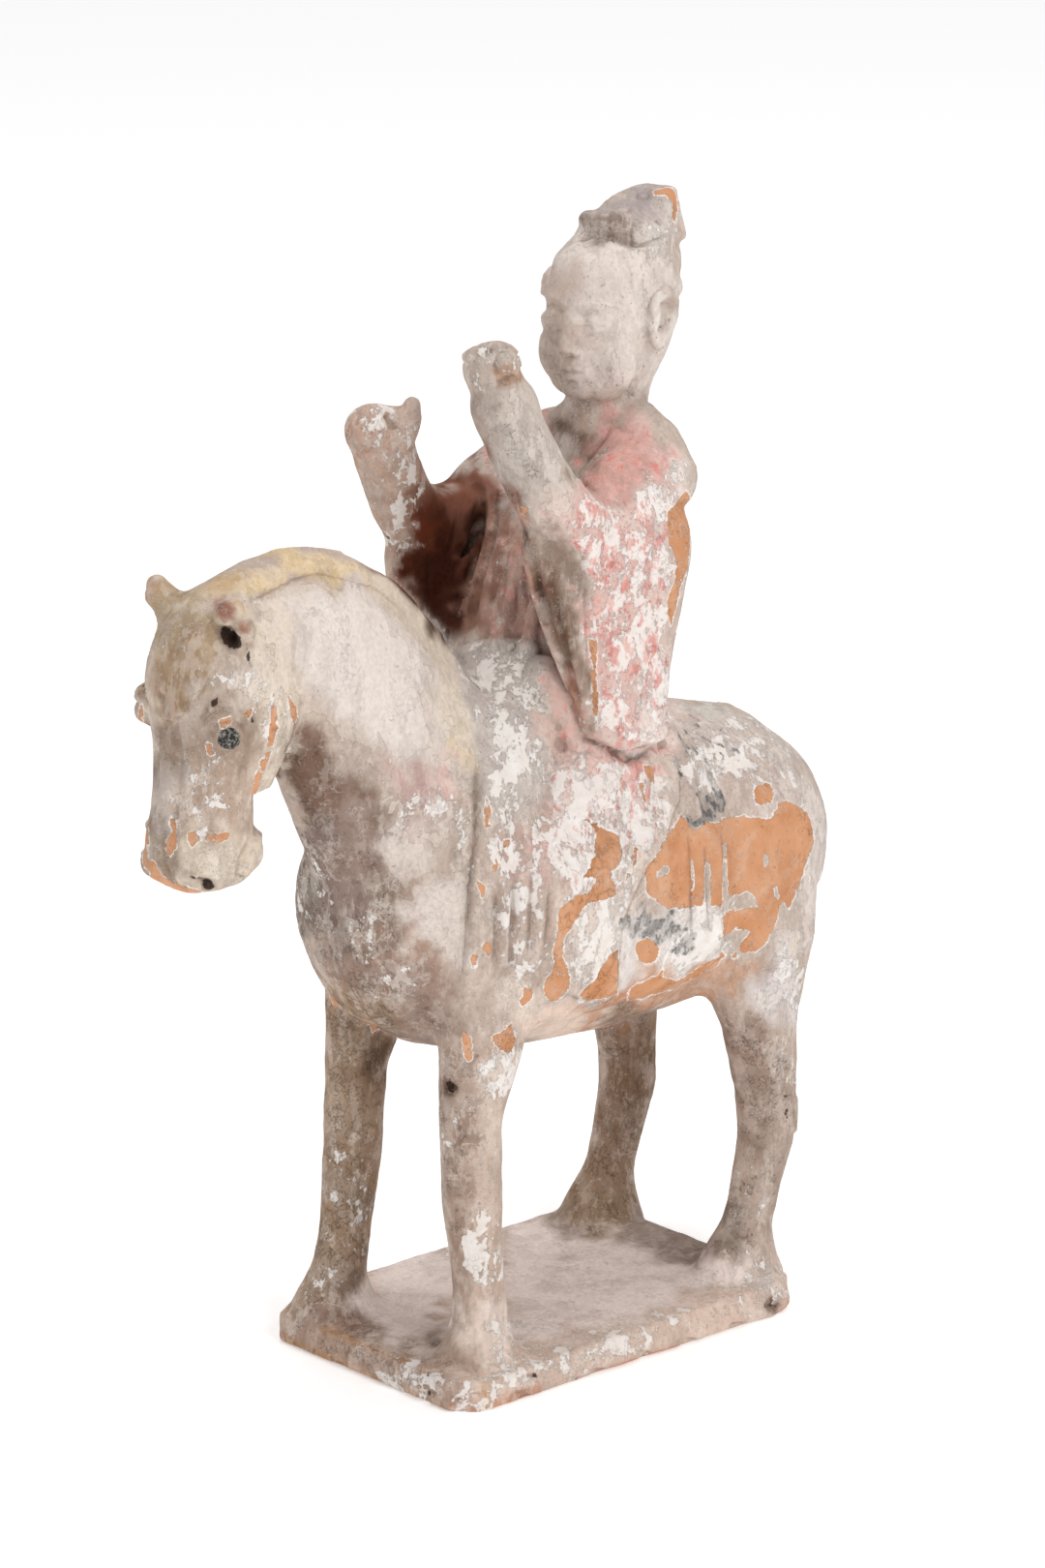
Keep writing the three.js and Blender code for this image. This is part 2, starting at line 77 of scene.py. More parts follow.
softbox("lamp_right_high", (2.5, -0.3, 1.9), 1.3, 34)
softbox("lamp_left_front", (-1.2, -2.4, 1.0), 2.0, 9)
softbox("lamp_above", (-0.2, 0.3, 2.8), 2.0, 30)

world = bpy.data.worlds.new("studio")
world.use_nodes = True
glow = world.node_tree.nodes["Background"]
glow.inputs["Color"].default_value = (1, 1, 1, 1)
glow.inputs["Strength"].default_value = 0.42
bpy.context.scene.world = world

FLOOR_WIDTH = 24
bpy.ops.mesh.primitive_plane_add(size=FLOOR_WIDTH, location=(0, 0, 0))
floor = bpy.context.object
floor.name = "floor"
paper = bpy.data.materials.new("pale_paper")
paper.use_nodes = True
paper_skin = paper.node_tree.nodes["Principled BSDF"]
paper_skin.inputs["Base Color"].default_value = (0.94, 0.94, 0.94, 1)
paper_skin.inputs["Roughness"].default_value = 0.9
paper_skin.inputs["Specular IOR Level"].default_value = 0.1
paper_skin.inputs["Emission Color"].default_value = (1, 1, 1, 1)
paper_skin.inputs["Emission Strength"].default_value = 0.3
floor.data.materials.append(paper)

# The figure is one hollow body of red-brown clay, shaped by hand and fired once. The solid gives every
# main form, and here its flat faces are rubbed until they flow as hand-shaped clay does.
MM = 0.001
COARSE = 1.9 * MM
FINE = 0.95 * MM


def pick(*objects):
    """Selects these objects alone and makes the last one active."""
    bpy.ops.object.select_all(action="DESELECT")
    for one in objects:
        one.select_set(True)
    bpy.context.view_layer.objects.active = objects[-1]


def work(obj, kind, **settings):
    """One modifier, set and applied."""
    modifier = obj.modifiers.new(kind.title(), kind)
    for name, value in settings.items():
        setattr(modifier, name, value)
    pick(obj)
    bpy.ops.object.modifier_apply(modifier=modifier.name)


DOUBLES = 1e-6
RUBBED = 12
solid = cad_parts["horse_and_rider"]
clay = bpy.data.objects.new("terracotta_horse_and_rider", solid.data.copy())
bpy.context.scene.collection.objects.link(clay)
pick(clay)
bpy.ops.object.mode_set(mode="EDIT")
bpy.ops.mesh.select_all(action="SELECT")
bpy.ops.mesh.remove_doubles(threshold=DOUBLES)
bpy.ops.object.mode_set(mode="OBJECT")
work(clay, "REMESH", mode="VOXEL", voxel_size=COARSE)


def read(obj, field, width=3):
    """One field of all the points of a mesh, a row each."""
    values = np.empty(len(obj.data.vertices) * width, np.float32)
    obj.data.vertices.foreach_get(field, values)
    return values.reshape(-1, width).astype(float)


def spread(obj, values, times):
    """Each point of a mesh takes on the mean of its neighbours, so many times."""
    edges = np.empty(len(obj.data.edges) * 2, np.int64)
    obj.data.edges.foreach_get("vertices", edges)
    one, other = edges.reshape(-1, 2).T
    links = np.bincount(edges, minlength=len(values)).clip(1)
    for _ in range(times):
        total = np.zeros_like(values)
        for k in range(values.shape[1]):
            total[:, k] = np.bincount(one, values[other, k], len(values))
            total[:, k] += np.bincount(other, values[one, k], len(values))
        values = 0.5 * values + 0.5 * total / links[:, None]
    return values


def even_out(obj, times):
    """Rubs the flat faces away, and gives back what the rubbing takes off the whole form."""
    once = spread(obj, read(obj, "co"), times)
    rounded = 2 * once - spread(obj, once, times)
    obj.data.vertices.foreach_set("co", rounded.astype(np.float32).ravel())
    obj.data.update()


even_out(clay, RUBBED)


def start_clay(name):
    """A new mesh, open in edit mode, that the next bits of clay are added to."""
    bpy.ops.object.select_all(action="DESELECT")
    bpy.ops.mesh.primitive_plane_add(size=MM, location=(0, 0, 0))
    bit = bpy.context.object
    bit.name = name
    bpy.ops.object.mode_set(mode="EDIT")
    bpy.ops.mesh.select_all(action="SELECT")
    bpy.ops.mesh.delete(type="VERT")
    return bit


def lump(place, sizes, turn=(0, 0, 0)):
    """A pressed ball of clay, with three half sizes in millimetres and a turn in degrees."""
    bpy.ops.mesh.primitive_uv_sphere_add(
        segments=20,
        ring_count=12,
        radius=1,
        location=[v * MM for v in place],
        rotation=[math.radians(v) for v in turn],
        scale=[v * MM for v in sizes],
    )


def roll(places, radii):
    """A roll of clay laid from place to place, in millimetres."""
    for (a, b), (ra, rb) in zip(zip(places, places[1:]), zip(radii, radii[1:])):
        a, b = Vector(a) * MM, Vector(b) * MM
        bpy.ops.mesh.primitive_cone_add(
            vertices=14,
            radius1=ra * MM,
            radius2=rb * MM,
            depth=(b - a).length,
            location=(a + b) / 2,
            rotation=(b - a).to_track_quat("Z", "Y").to_euler(),
        )
    for place, radius in zip(places, radii):
        lump(place, (radius, radius, radius))


def add_clay(bit):
    """The bits are joined to the figure and lose their seams when it is remeshed."""
    bpy.ops.object.mode_set(mode="OBJECT")
    pick(bit, clay)
    bpy.ops.object.join()


# The slab is a flat tile of the same clay that the hoofs were pressed onto while it was wet. Its edges
# are worn and chipped, and three of its corners are cut off.
SLAB_MIDDLE = (-1.0, 2.8, 5.0)
SLAB_SIZE = (94.5, 140.5, 10.0)
SLAB_EDGE = 1.0
SLAB_CORNERS = [((-48.5, -51), (-0.9, -0.43)), ((45.5, -59), (0.75, -0.66)), ((46.5, 66), (0.9, 0.43))]
slab = start_clay("slab")
bpy.ops.mesh.primitive_cube_add(
    size=1,
    location=[v * MM for v in SLAB_MIDDLE],
    scale=[v * MM for v in SLAB_SIZE],
)
bpy.ops.mesh.bevel(offset=SLAB_EDGE * MM, segments=2, affect="EDGES")
for corner, way in SLAB_CORNERS:
    bpy.ops.mesh.select_all(action="SELECT")
    bpy.ops.mesh.bisect(
        plane_co=(corner[0] * MM, corner[1] * MM, SLAB_MIDDLE[2] * MM),
        plane_no=(*way, 0),
        use_fill=True,
        clear_outer=True,
    )
add_clay(slab)

# The horse's ears, chin, eyes and nostrils are pinched up from small lumps pressed onto the head. The
# near ear is broken down to two stubs beside its hollow.
FAR_EAR = [(-13.8, -126, 250), (-15.6, -128.6, 257), (-16.9, -130.8, 262), (-17.5, -131.8, 264.6)]
EAR_STUB = [(12, -126, 252), (13.5, -128, 258), (14.2, -130, 263)]
SMALL_STUB = [(15, -126, 255), (17.5, -127, 259.5)]
CHIN_PLACE = (0, -118, 184.5)
CHIN_SIZE = (11.5, 6.5, 8.5)
HEAD_LUMPS = {
    "eye": ((17.2, -135.5, 227), (3.4, 5.2, 4.6), 0),
    "brow": ((16, -136, 233.5), (3.0, 5.5, 2.0), 20),
    "nostril": ((8.5, -140.5, 183), (4.8, 5.6, 5.8), 0),
}


def lumps_on_both_sides(lumps):
    """Each lump has a place on the left side, half sizes, and a lean in degrees."""
    for side in (-1, 1):
        for (x, y, z), sizes, lean in lumps.values():
            lump((side * x, y, z), sizes, (lean, 0, 0))


head = start_clay("horse_head")
roll(FAR_EAR, [4.4, 4.1, 3.9, 3.3])
roll(EAR_STUB, [5.0, 4.6, 3.6])
roll(SMALL_STUB, [3.4, 2.4])
lump(CHIN_PLACE, CHIN_SIZE)
lumps_on_both_sides(HEAD_LUMPS)
add_clay(head)

# The rider's face is calm and even, with its eyes half way down the head and the nose and mouth under
# them at the usual distances. It is built from small rolls of clay, and the head is turned a little
# to the left on its neck.
EYE_LINE, NOSE_BASE, MOUTH, CHIN = 323, 313, 307.5, 301
HEAD_TURN = math.radians(12)
NECK = 35.5
MIDDLE_LUMPS = {
    "lower_face": ((0, 28, 309.5), (13.6, 14.2, 11.5)),
    "chin": ((0, 18, CHIN + 1), (6, 5, 4)),
}
MIDDLE_ROLLS = {
    "nose": (
        [(0, 13.2, EYE_LINE + 3), (0, 11.9, EYE_LINE - 3), (0, 10.9, NOSE_BASE + 2)],
        [1.5, 1.8, 2.3],
    ),
    "upper_lip": (
        [
            (-4.8, 15.2, MOUTH + 0.3), (-1.6, 13, MOUTH + 1.2),
            (1.6, 13, MOUTH + 1.2), (4.8, 15.2, MOUTH + 0.3),
        ],
        [0.6, 1.1, 1.1, 0.6],
    ),
    "lower_lip": (
        [(-3.6, 14.8, MOUTH - 1.3), (0, 13.1, MOUTH - 1.9), (3.6, 14.8, MOUTH - 1.3)],
        [0.7, 1.2, 0.7],
    ),
}
SIDE_LUMPS = {
    "cheek": ((10.5, 23, 311), (6.5, 6.5, 10.5), 0),
    "jaw": ((6.5, 23, 304), (6.6, 6.6, 6.5), 0),
    "nose_wing": ((2.4, 12.9, NOSE_BASE + 1.2), (1.5, 1.8, 1.4), 0),
    "eye": ((7.6, 16.6, EYE_LINE), (3.9, 2.4, 2.3), 0),
    "ear": ((18.8, 33, EYE_LINE + 0.5), (2.2, 4.4, 8.0), -8),
}
SIDE_ROLLS = {
    "upper_lid": (
        [(3.6, 15.4, EYE_LINE), (7.4, 13.9, EYE_LINE + 2.3), (11.4, 17.2, EYE_LINE + 0.4)],
        [0.6, 0.9, 0.6],
    ),
    "lower_lid": (
        [(4.0, 15.6, EYE_LINE - 0.8), (7.6, 14.9, EYE_LINE - 2.2), (11, 17.4, EYE_LINE - 0.6)],
        [0.5, 0.7, 0.5],
    ),
    "brow": (
        [(2.8, 14.2, EYE_LINE + 4.8), (7.6, 15.0, EYE_LINE + 6.4), (12.6, 19.4, EYE_LINE + 4.8)],
        [1.1, 1.2, 0.8],
    ),
    "ear_rim": (
        [
            (20.4, 29.0, EYE_LINE - 4.5), (20.6, 30.6, EYE_LINE - 8), (21, 33.4, EYE_LINE - 6.8),
            (21.8, 37.2, EYE_LINE), (22, 37.8, EYE_LINE + 5), (21.4, 34.6, EYE_LINE + 9),
            (20.8, 30.4, EYE_LINE + 7.4), (20.4, 28.4, EYE_LINE + 3),
        ],
        [1.4, 1.7, 1.5, 1.4, 1.5, 1.6, 1.5, 1.2],
    ),
}
face = start_clay("face")
for place, sizes in MIDDLE_LUMPS.values():
    lump(place, sizes)
for places, radii in MIDDLE_ROLLS.values():
    roll(places, radii)
lumps_on_both_sides(SIDE_LUMPS)
for side in (-1, 1):
    for places, radii in SIDE_ROLLS.values():
        roll([(side * x, y, z) for x, y, z in places], radii)
bpy.ops.mesh.select_all(action="SELECT")
bpy.ops.transform.rotate(
    value=-HEAD_TURN,
    orient_axis="Z",
    orient_type="GLOBAL",
    center_override=(0, NECK * MM, EYE_LINE * MM),
)
add_clay(face)

# The cap has a thick rolled rim, tilted back and to the right, round a folded peak whose front slants
# up flat and whose side stands upright. Under it at the back the hair is gathered in a knot.
RIM_MIDDLE = (0.5, 40.5, 348.8)
RIM_HALF = (11.2, 10.8)
RIM_TILT = (0.12, -0.2)
RIM_THICK = 3.5
PEAK_MIDDLE = (-0.5, 47.5, 350.5)
PEAK_SIZE = (18, 26, 18)
PEAK_LEFT, PEAK_RIGHT = 6.2, -8.0
PEAK_FRONT, PEAK_BACK = 50.5, 57.4
PEAK_LOW, PEAK_HIGH = 357.0, 358.8
PEAK_EDGE = 1.6
cap = start_clay("cap")
ring = []
for angle in np.linspace(0, 2 * math.pi, 17):
    x, y = RIM_HALF[0] * math.cos(angle), RIM_HALF[1] * math.sin(angle)
    rise = RIM_TILT[0] * x + RIM_TILT[1] * y
    ring.append((RIM_MIDDLE[0] + x, RIM_MIDDLE[1] + y, RIM_MIDDLE[2] + rise))
roll(ring, [RIM_THICK] * len(ring))
bpy.ops.mesh.select_all(action="DESELECT")
bpy.ops.mesh.primitive_cube_add(
    size=1,
    location=[v * MM for v in PEAK_MIDDLE],
    scale=[v * MM for v in PEAK_SIZE],
)
peak = bmesh.from_edit_mesh(cap.data)
for vert in peak.verts:
    if vert.select and vert.co.z > PEAK_MIDDLE[2] * MM:
        vert.co.y = (PEAK_FRONT if vert.co.y < PEAK_MIDDLE[1] * MM else PEAK_BACK) * MM
        vert.co.x = (PEAK_RIGHT if vert.co.x < 0 else PEAK_LEFT) * MM
        vert.co.z = (PEAK_LOW if vert.co.x < 0 else PEAK_HIGH) * MM
bmesh.update_edit_mesh(cap.data)
bpy.ops.mesh.bevel(offset=PEAK_EDGE * MM, segments=2, affect="EDGES")
lump((3, 52.2, 335.5), (8.5, 5.0, 5.5))
lump((5, 52.6, 328), (7.5, 4.5, 4.6))
add_clay(cap)

# The rider's robe front is a thick sheet of clay behind its folds, its shoulders and lap are filled with
# rolls, and the fists have fingers of rolled clay.
ROBE_LUMPS = {
    "front": ((-3, 2, 236), (24, 13, 26), -20),
    "lap": ((-8, -8, 226), (18, 9, 14), -20),
    "lap_end": ((23, -7, 197.5), (4.6, 4.6, 4.6), 0),
}
ROBE_ROLLS = {
    "left_shoulder": ([(12, 34, 289), (21, 32, 284), (28, 30, 276)], [8, 10, 11.5]),
    "right_shoulder": ([(-14, 34, 282), (-21, 31, 279), (-27, 28, 273)], [8, 9, 11]),
    "lap": (
        [(18.5, -10, 218.5), (22.2, -7.6, 212.9), (26.5, -5.5, 205.5), (29, -4, 201)],
        [6.8, 7, 6.5, 5.5],
    ),
    "left_fingers": (
        [(16.5, -38.5, 324), (20, -38.3, 325.6), (24, -35.8, 326), (27, -32.5, 324.8)],
        [2.2, 2.8, 2.8, 2.4],
    ),
    "left_little_finger": ([(27.5, -31, 322), (27.5, -29.5, 317)], [2.6, 2.2]),
    "right_thumb": ([(-19.5, -33, 290), (-18.4, -30.5, 296), (-18.2, -29.8, 300.5)], [4.2, 3.6, 2.8]),
}
robe = start_clay("robe_front")
for place, sizes, lean in ROBE_LUMPS.values():
    lump(place, sizes, (lean, 0, 0))
for places, radii in ROBE_ROLLS.values():
    roll(places, radii)
add_clay(robe)
work(clay, "REMESH", mode="VOXEL", voxel_size=FINE)
work(clay, "SMOOTH", factor=0.5, iterations=3)


def smooth_step(value):
    """0 to 1 with soft ends."""
    value = np.clip(value, 0, 1)
    return value * value * (3 - 2 * value)


def shave(corner, way, low, high, front, back):
    """Clay past a flat cut is pressed back to it, between two heights and from front to back."""
    spots = read(clay, "co") / MM
    over = np.clip((spots - corner) @ np.array(way), 0, None)
    held = smooth_step((spots[:, 2] - low) / 1.5) * smooth_step((high - spots[:, 2]) / 1.5)
    held *= smooth_step((spots[:, 1] - front) / 1.5) * smooth_step((back - spots[:, 1]) / 1.5)
    spots -= np.outer(over * held, way)
    clay.data.vertices.foreach_set("co", (spots * MM).astype(np.float32).ravel())
    clay.data.update()


# The peak of the cap is pressed flat on its slanting top and its left side, the temples are pared smooth,
# and the horse's jaw is pinched in above its chin, all while the clay is soft.
PEAK_TOP = ((-8, 35, 352), (-0.057, -0.292, 0.955), 349, 400, 34, 70)
PEAK_SIDE = ((7, 34.7, 352.8), (0.874, -0.143, 0.466), 344.5, 400, 32, 70)
JAW_PLACE, JAW_WAY = (0, -110.1, 195), (0.6756, 0.7373)
JAW_BAND = (189.5, 205, -135, -101)
TEMPLE_PLACE, TEMPLE_WAY = (10.5, 18.9), (0.69, 0.72)
TEMPLE_BAND = (315, 334, 8, 40)


def with_head(across, ahead):
    """A step across and ahead, turned as the head is."""
    c, s = math.cos(HEAD_TURN), math.sin(HEAD_TURN)
    return across * c + ahead * s, across * s - ahead * c


shave(*PEAK_TOP)
shave(*PEAK_SIDE)
for side in (-1, 1):
    shave(JAW_PLACE, (side * JAW_WAY[0], JAW_WAY[1], 0), *JAW_BAND)
    x, y = with_head(side * TEMPLE_PLACE[0], TEMPLE_PLACE[1])
    way = with_head(side * TEMPLE_WAY[0], TEMPLE_WAY[1])
    shave((x, y + NECK, EYE_LINE), (*way, 0), *TEMPLE_BAND)


# The carving is pressed in and raised by hand on the soft clay. Each line is given by where it is seen
# from the front left, in points of a 1080 by 1620 view, and is repeated on the far side where `both`.
VIEW_SCALE = 3.36
VIEW_MIDDLE = (540, 810)
FAR_SCALE = 8400
CELL, CELLS_ACROSS = 5, 220
across = np.array([math.cos(turned), math.sin(turned), 0])
towards = np.array(to_viewer)
upward = np.cross(across, -towards)
eye = np.array(aim) + towards * distance
MIRROR = np.array([-1, 1, 1])


def look(points):
    """Where points are seen, and how far off they are."""
    from_eye = points - eye
    depth = -(from_eye @ towards)
    spots = FAR_SCALE * np.stack([from_eye @ across, -(from_eye @ upward)]) / depth
    return spots.T + VIEW_MIDDLE, depth


def in_view(spots, depth, facing):
    """Which points nothing else hides."""
    cell = (spots[:, 1] // CELL).astype(int) * CELLS_ACROSS + (spots[:, 0] // CELL).astype(int)
    nearest = np.full(cell.max() + 1, 9.0)
    np.minimum.at(nearest, cell, depth)
    return (facing > 0.03) & (depth < nearest[cell] + 0.006)


def take_look():
    """The clay's points, their outward directions and how they are seen, from here and mirrored."""
    points, out = read(clay, "co"), read(clay, "normal")
    spots, depth = look(points)
    seen = in_view(spots, depth, out @ towards)
    far_spots, far_depth = look(points * MIRROR)
    far_seen = in_view(far_spots, far_depth, (out * MIRROR) @ towards)
    return points, out, spots, seen, far_spots, far_seen


def on_face(places):
    """Where places on the turned head are seen, given in millimetres as if it looked straight ahead."""
    spots = np.array(places, float) - (0, NECK, 0)
    c, s = math.cos(HEAD_TURN), math.sin(HEAD_TURN)
    x = spots[:, 0] * c - spots[:, 1] * s
    y = spots[:, 0] * s + spots[:, 1] * c + NECK
    return look(np.stack([x, y, spots[:, 2]]).T * MM)[0]


def along(path, spots):
    """Distance from a path in millimetres, minus on its left, and how far along it, from 0 to 1."""
    path = np.array(path, float)
    lengths = np.hypot(*(path[1:] - path[:-1]).T)
    nearest = np.full(len(spots), 1e9)
    signed = np.zeros(len(spots))
    gone = np.zeros(len(spots))
    for k, (a, b) in enumerate(zip(path, path[1:])):
        way, rel = b - a, spots - a
        share = np.clip(rel @ way / (way @ way), 0, 1)
        gap = np.hypot(*(rel - share[:, None] * way).T)
        side = np.where(way[0] * rel[:, 1] - way[1] * rel[:, 0] > 0, 1.0, -1.0)
        closer = gap < nearest
        nearest = np.where(closer, gap, nearest)
        signed = np.where(closer, gap * side, signed)
        gone = np.where(closer, (lengths[:k].sum() + share * lengths[k]) / lengths.sum(), gone)
    return signed / VIEW_SCALE, gone


class Carving:
    """Lines gathered on the clay as it stands, and pressed into it together."""

    def __init__(self):
        self.points, self.out, self.spots, self.seen, self.far_spots, self.far_seen = take_look()
        self.push = np.zeros(len(self.points))

    def each(self, path, reach, both):
        """The points near a path, here and, if `both`, on the far side."""
        low = np.min(path, axis=0) - reach * VIEW_SCALE
        high = np.max(path, axis=0) + reach * VIEW_SCALE
        looks = [(self.spots, self.seen & ((self.points[:, 0] > -0.0005) | (not both)))]
        if both:
            looks.append((self.far_spots, self.far_seen & (self.points[:, 0] < 0.0005)))
        for spots, shown in looks:
            near = shown & (spots > low).all(1) & (spots < high).all(1)
            which = np.nonzero(near)[0]
            if len(which):
                signed, gone = along(path, spots[which])
                yield which, signed, gone

    def line(self, path, width, rise, both=False, ends=0.12):
        """A ridge, or a groove if `rise` is minus."""
        for which, signed, gone in self.each(path, width, both):
            fade = smooth_step(gone / ends) * smooth_step((1 - gone) / ends) if ends else 1
            self.push[which] += rise * MM * fade * np.clip(1 - (signed / width) ** 2, 0, 1) ** 2

    def ledge(self, path, rise, fade, both=False, sharp=0.5, ends=0.08):
        """The clay on the path's right stands proud and sinks back over `fade` millimetres."""
        for which, signed, gone in self.each(path, fade * 1.6, both):
            tips = smooth_step(gone / ends) * smooth_step((1 - gone) / ends)
            proud = smooth_step(0.5 + signed / (2 * sharp)) * (1 - smooth_step(signed / (fade * 1.6)))
            self.push[which] += rise * MM * tips * proud

    def lines(self, rows, both=False):
        """Rows of a path, its width and rise in millimetres, and where given how soon its ends fade."""
        for path, width, rise, *ends in rows:
            self.line(path, width, rise, both, *ends)

    def ledges(self, rows, both=False):
        """Rows of a path, its rise and fade in millimetres, and where given how sharp its edge is."""
        for path, rise, fade, *sharp in rows:
            self.ledge(path, rise, fade, both, *sharp)

    def press(self):
        """Moves the clay by all that was gathered."""
        self.points += self.out * self.push[:, None]
        clay.data.vertices.foreach_set("co", self.points.astype(np.float32).ravel())
        clay.data.update()


# The horse's head is modelled in soft clay and finished with a pointed tool: a tongue of mane lies over
# the forehead, the eyes sit in lids, and the thin straps of a halter cross the nose and cheek. The near
# ear is broken to two stubs beside an open hollow.
EYE_PLACE = (236, 763)
EYE_SIZE = (22, 19)
EYE_LID = [
    (EYE_PLACE[0] + EYE_SIZE[0] * math.cos(a), EYE_PLACE[1] + EYE_SIZE[1] * math.sin(a))
    for a in np.linspace(0, 2 * math.pi, 13)
]
FORELOCK = [
    ([(241, 634), (233, 655), (229, 669), (224, 684), (212, 703), (200, 722), (188, 737), (178, 744),
        (166, 741)], 1.7, 12, 0.6),
]
HEAD_LINES = [
    ([(229, 669), (224, 684), (212, 703), (200, 722), (188, 737)], 1.6, 0.5),
    (EYE_LID, 2.0, -0.7, 0),
    ([(211, 757), (222, 743), (238, 738), (254, 744), (264, 758)], 2.4, 0.8),
    ([(204, 745), (214, 732), (224, 722)], 1.3, -0.6),
    ([(189, 780), (184, 815), (180, 852)], 2.6, -0.9),
    ([(150, 861), (171, 863), (205, 868), (235, 866), (258, 858)], 1.3, 0.6),
    ([(263, 866), (252, 888), (249, 914)], 2.4, -2.4),
    ([(209, 911), (219, 916)], 2.2, -4.0, 0),
    ([(200, 903), (212, 899), (226, 906)], 1.8, 0.7),
    ([(283, 700), (292, 735), (286, 775), (268, 822)], 5, 0.6),
]
BROKEN_EAR = [
    ([(230, 652), (241, 664)], 3.0, -5.0, 0),
    ([(226, 632), (243, 628)], 3.4, 1.4, 0),
    ([(250, 645), (255, 651)], 2.2, 1.6, 0),
    ([(256, 666), (258, 685)], 0.9, -1.2, 0),
]
cut = Carving()
cut.ledges(FORELOCK, both=True)
cut.lines(HEAD_LINES, both=True)
cut.lines(BROKEN_EAR)

# The mane is a thick band of clay laid along the crest and pressed onto the neck while both were wet.
# A thin crack runs under its edge.
MANE_EDGE = [(425, 642), (412, 627), (398, 614), (384, 605), (366, 601), (350, 596), (333, 592),
    (317, 593), (302, 598), (275, 612), (262, 618), (250, 625)]
MANE_LINES = [
    (MANE_EDGE, 0.9, -0.9),
    ([(283, 816), (298, 795), (308, 768)], 3.2, -1.2),
]
MANE_CREASE = [
    ([(290, 584), (317, 575), (349, 582), (376, 593)], 1.6, -0.6),
]
cut.ledge(MANE_EDGE, 1.3, 8, both=True)
cut.lines(MANE_LINES, both=True)
cut.lines(MANE_CREASE)

# The saddle cloth is a sheet of clay laid over the back. It has a plain border in front, then pleats
# pressed in with a stick; the robe's flap lies over it, and behind the rear arch it is pleated again.
FLAP_EDGE = [(692, 768), (699, 795), (700, 825), (690, 855), (676, 885), (660, 912), (650, 935),
    (641, 965), (638, 1000), (640, 1028)]
CLOTH_EDGES = [
    ([(479, 1030), (479, 1012), (482, 975), (484, 931), (490, 884), (494, 856), (495, 820),
        (494, 780)], 1.3, 9),
    (FLAP_EDGE, 1.3, 11),
    ([(642, 1030), (620, 1034), (600, 1032), (586, 1024), (572, 1038)], 1.1, 8),
    ([(690, 742), (700, 758), (709, 776), (716, 800), (722, 830), (727, 850)], 1.3, 7),
    ([(752, 930), (750, 960), (745, 986), (720, 1005), (696, 1017), (660, 1027)], 0.8, 7),
]
CLOTH_LINES = [
    ([(480, 1010), (483, 960), (486, 915), (491, 870), (493, 815), (495, 770)], 1.9, -1.0),
    (FLAP_EDGE, 1.3, -0.5),
    ([(580, 756), (571, 790), (562, 830), (556, 872)], 4.0, -1.0),
]
REAR_ARCH = [
    ([(704, 739), (725, 731), (745, 729), (775, 724)], 1.4, 0.6),
]
FRONT_FOLDS = [(521, 915, 1005), (538, 888, 1012), (557, 892, 1005)]
FRONT_PLEATS = [(511, 905, 1015), (529, 905, 1010), (548, 893, 1000), (567, 905, 990)]
REAR_PLEATS = [(714, 848, 975), (731, 862, 980), (749, 850, 935)]
cut.ledges(CLOTH_EDGES, both=True)
cut.lines(CLOTH_LINES, both=True)
cut.lines(REAR_ARCH)
for u, top, bottom in FRONT_FOLDS:
    cut.line([(u + 2, top), (u, (top + bottom) / 2), (u - 3, bottom)], 2.6, 1.3, both=True, ends=0.3)
for u, top, bottom in FRONT_PLEATS:
    cut.line([(u + 2, top), (u, (top + bottom) / 2), (u - 3, bottom)], 1.7, -1.1, both=True, ends=0.3)
for u, top, bottom in REAR_PLEATS:
    cut.line([(u - 3, top), (u, (top + bottom) / 2), (u + 1, bottom)], 1.3, -0.9, both=True, ends=0.2)
    cut.line([(u - 9, top), (u - 6, (top + bottom) / 2), (u - 4, bottom)], 2.6, 0.6, both=True, ends=0.2)

# The robe is modelled with the body, and its folds are drawn in the soft clay: they fan from under the
# arms, the sleeves end in a thick uneven hem, and the collar crosses to a V. The fists close on nothing,
# each with a notch at its thumb.
ROBE_EDGES = [
    ([(694, 756), (682, 763), (668, 771), (650, 778), (640, 770), (622, 767), (608, 753)], 1.7, 7, 0.4),
    ([(594, 497), (604, 482), (616, 467), (626, 454), (635, 440)], 1.4, 9),
    ([(470, 672), (488, 664), (510, 660), (535, 661), (562, 668)], 1.0, 6, 0.4),
]
HEM_CRACK = [
    ([(692, 764), (668, 779), (650, 786), (638, 778), (612, 768)], 2.0, -1.4),
    ([(688, 766), (668, 780), (650, 787), (638, 779), (602, 762)], 0.9, -0.8),
]
SLEEVE_FOLDS = [
    ([(602, 560), (605, 620), (607, 680), (611, 742)], 2.6, -1.3),
    ([(541, 548), (552, 590), (562, 630), (574, 664), (592, 712), (606, 748)], 2.8, -2.0, 0.3),
    ([(552, 560), (570, 610), (588, 670), (604, 735)], 3.0, 1.0, 0.2),
    ([(567, 600), (580, 650), (592, 700), (602, 745)], 1.4, -1.2, 0.3),
    ([(585, 610), (594, 660), (602, 710)], 1.2, -0.7, 0.3),
]
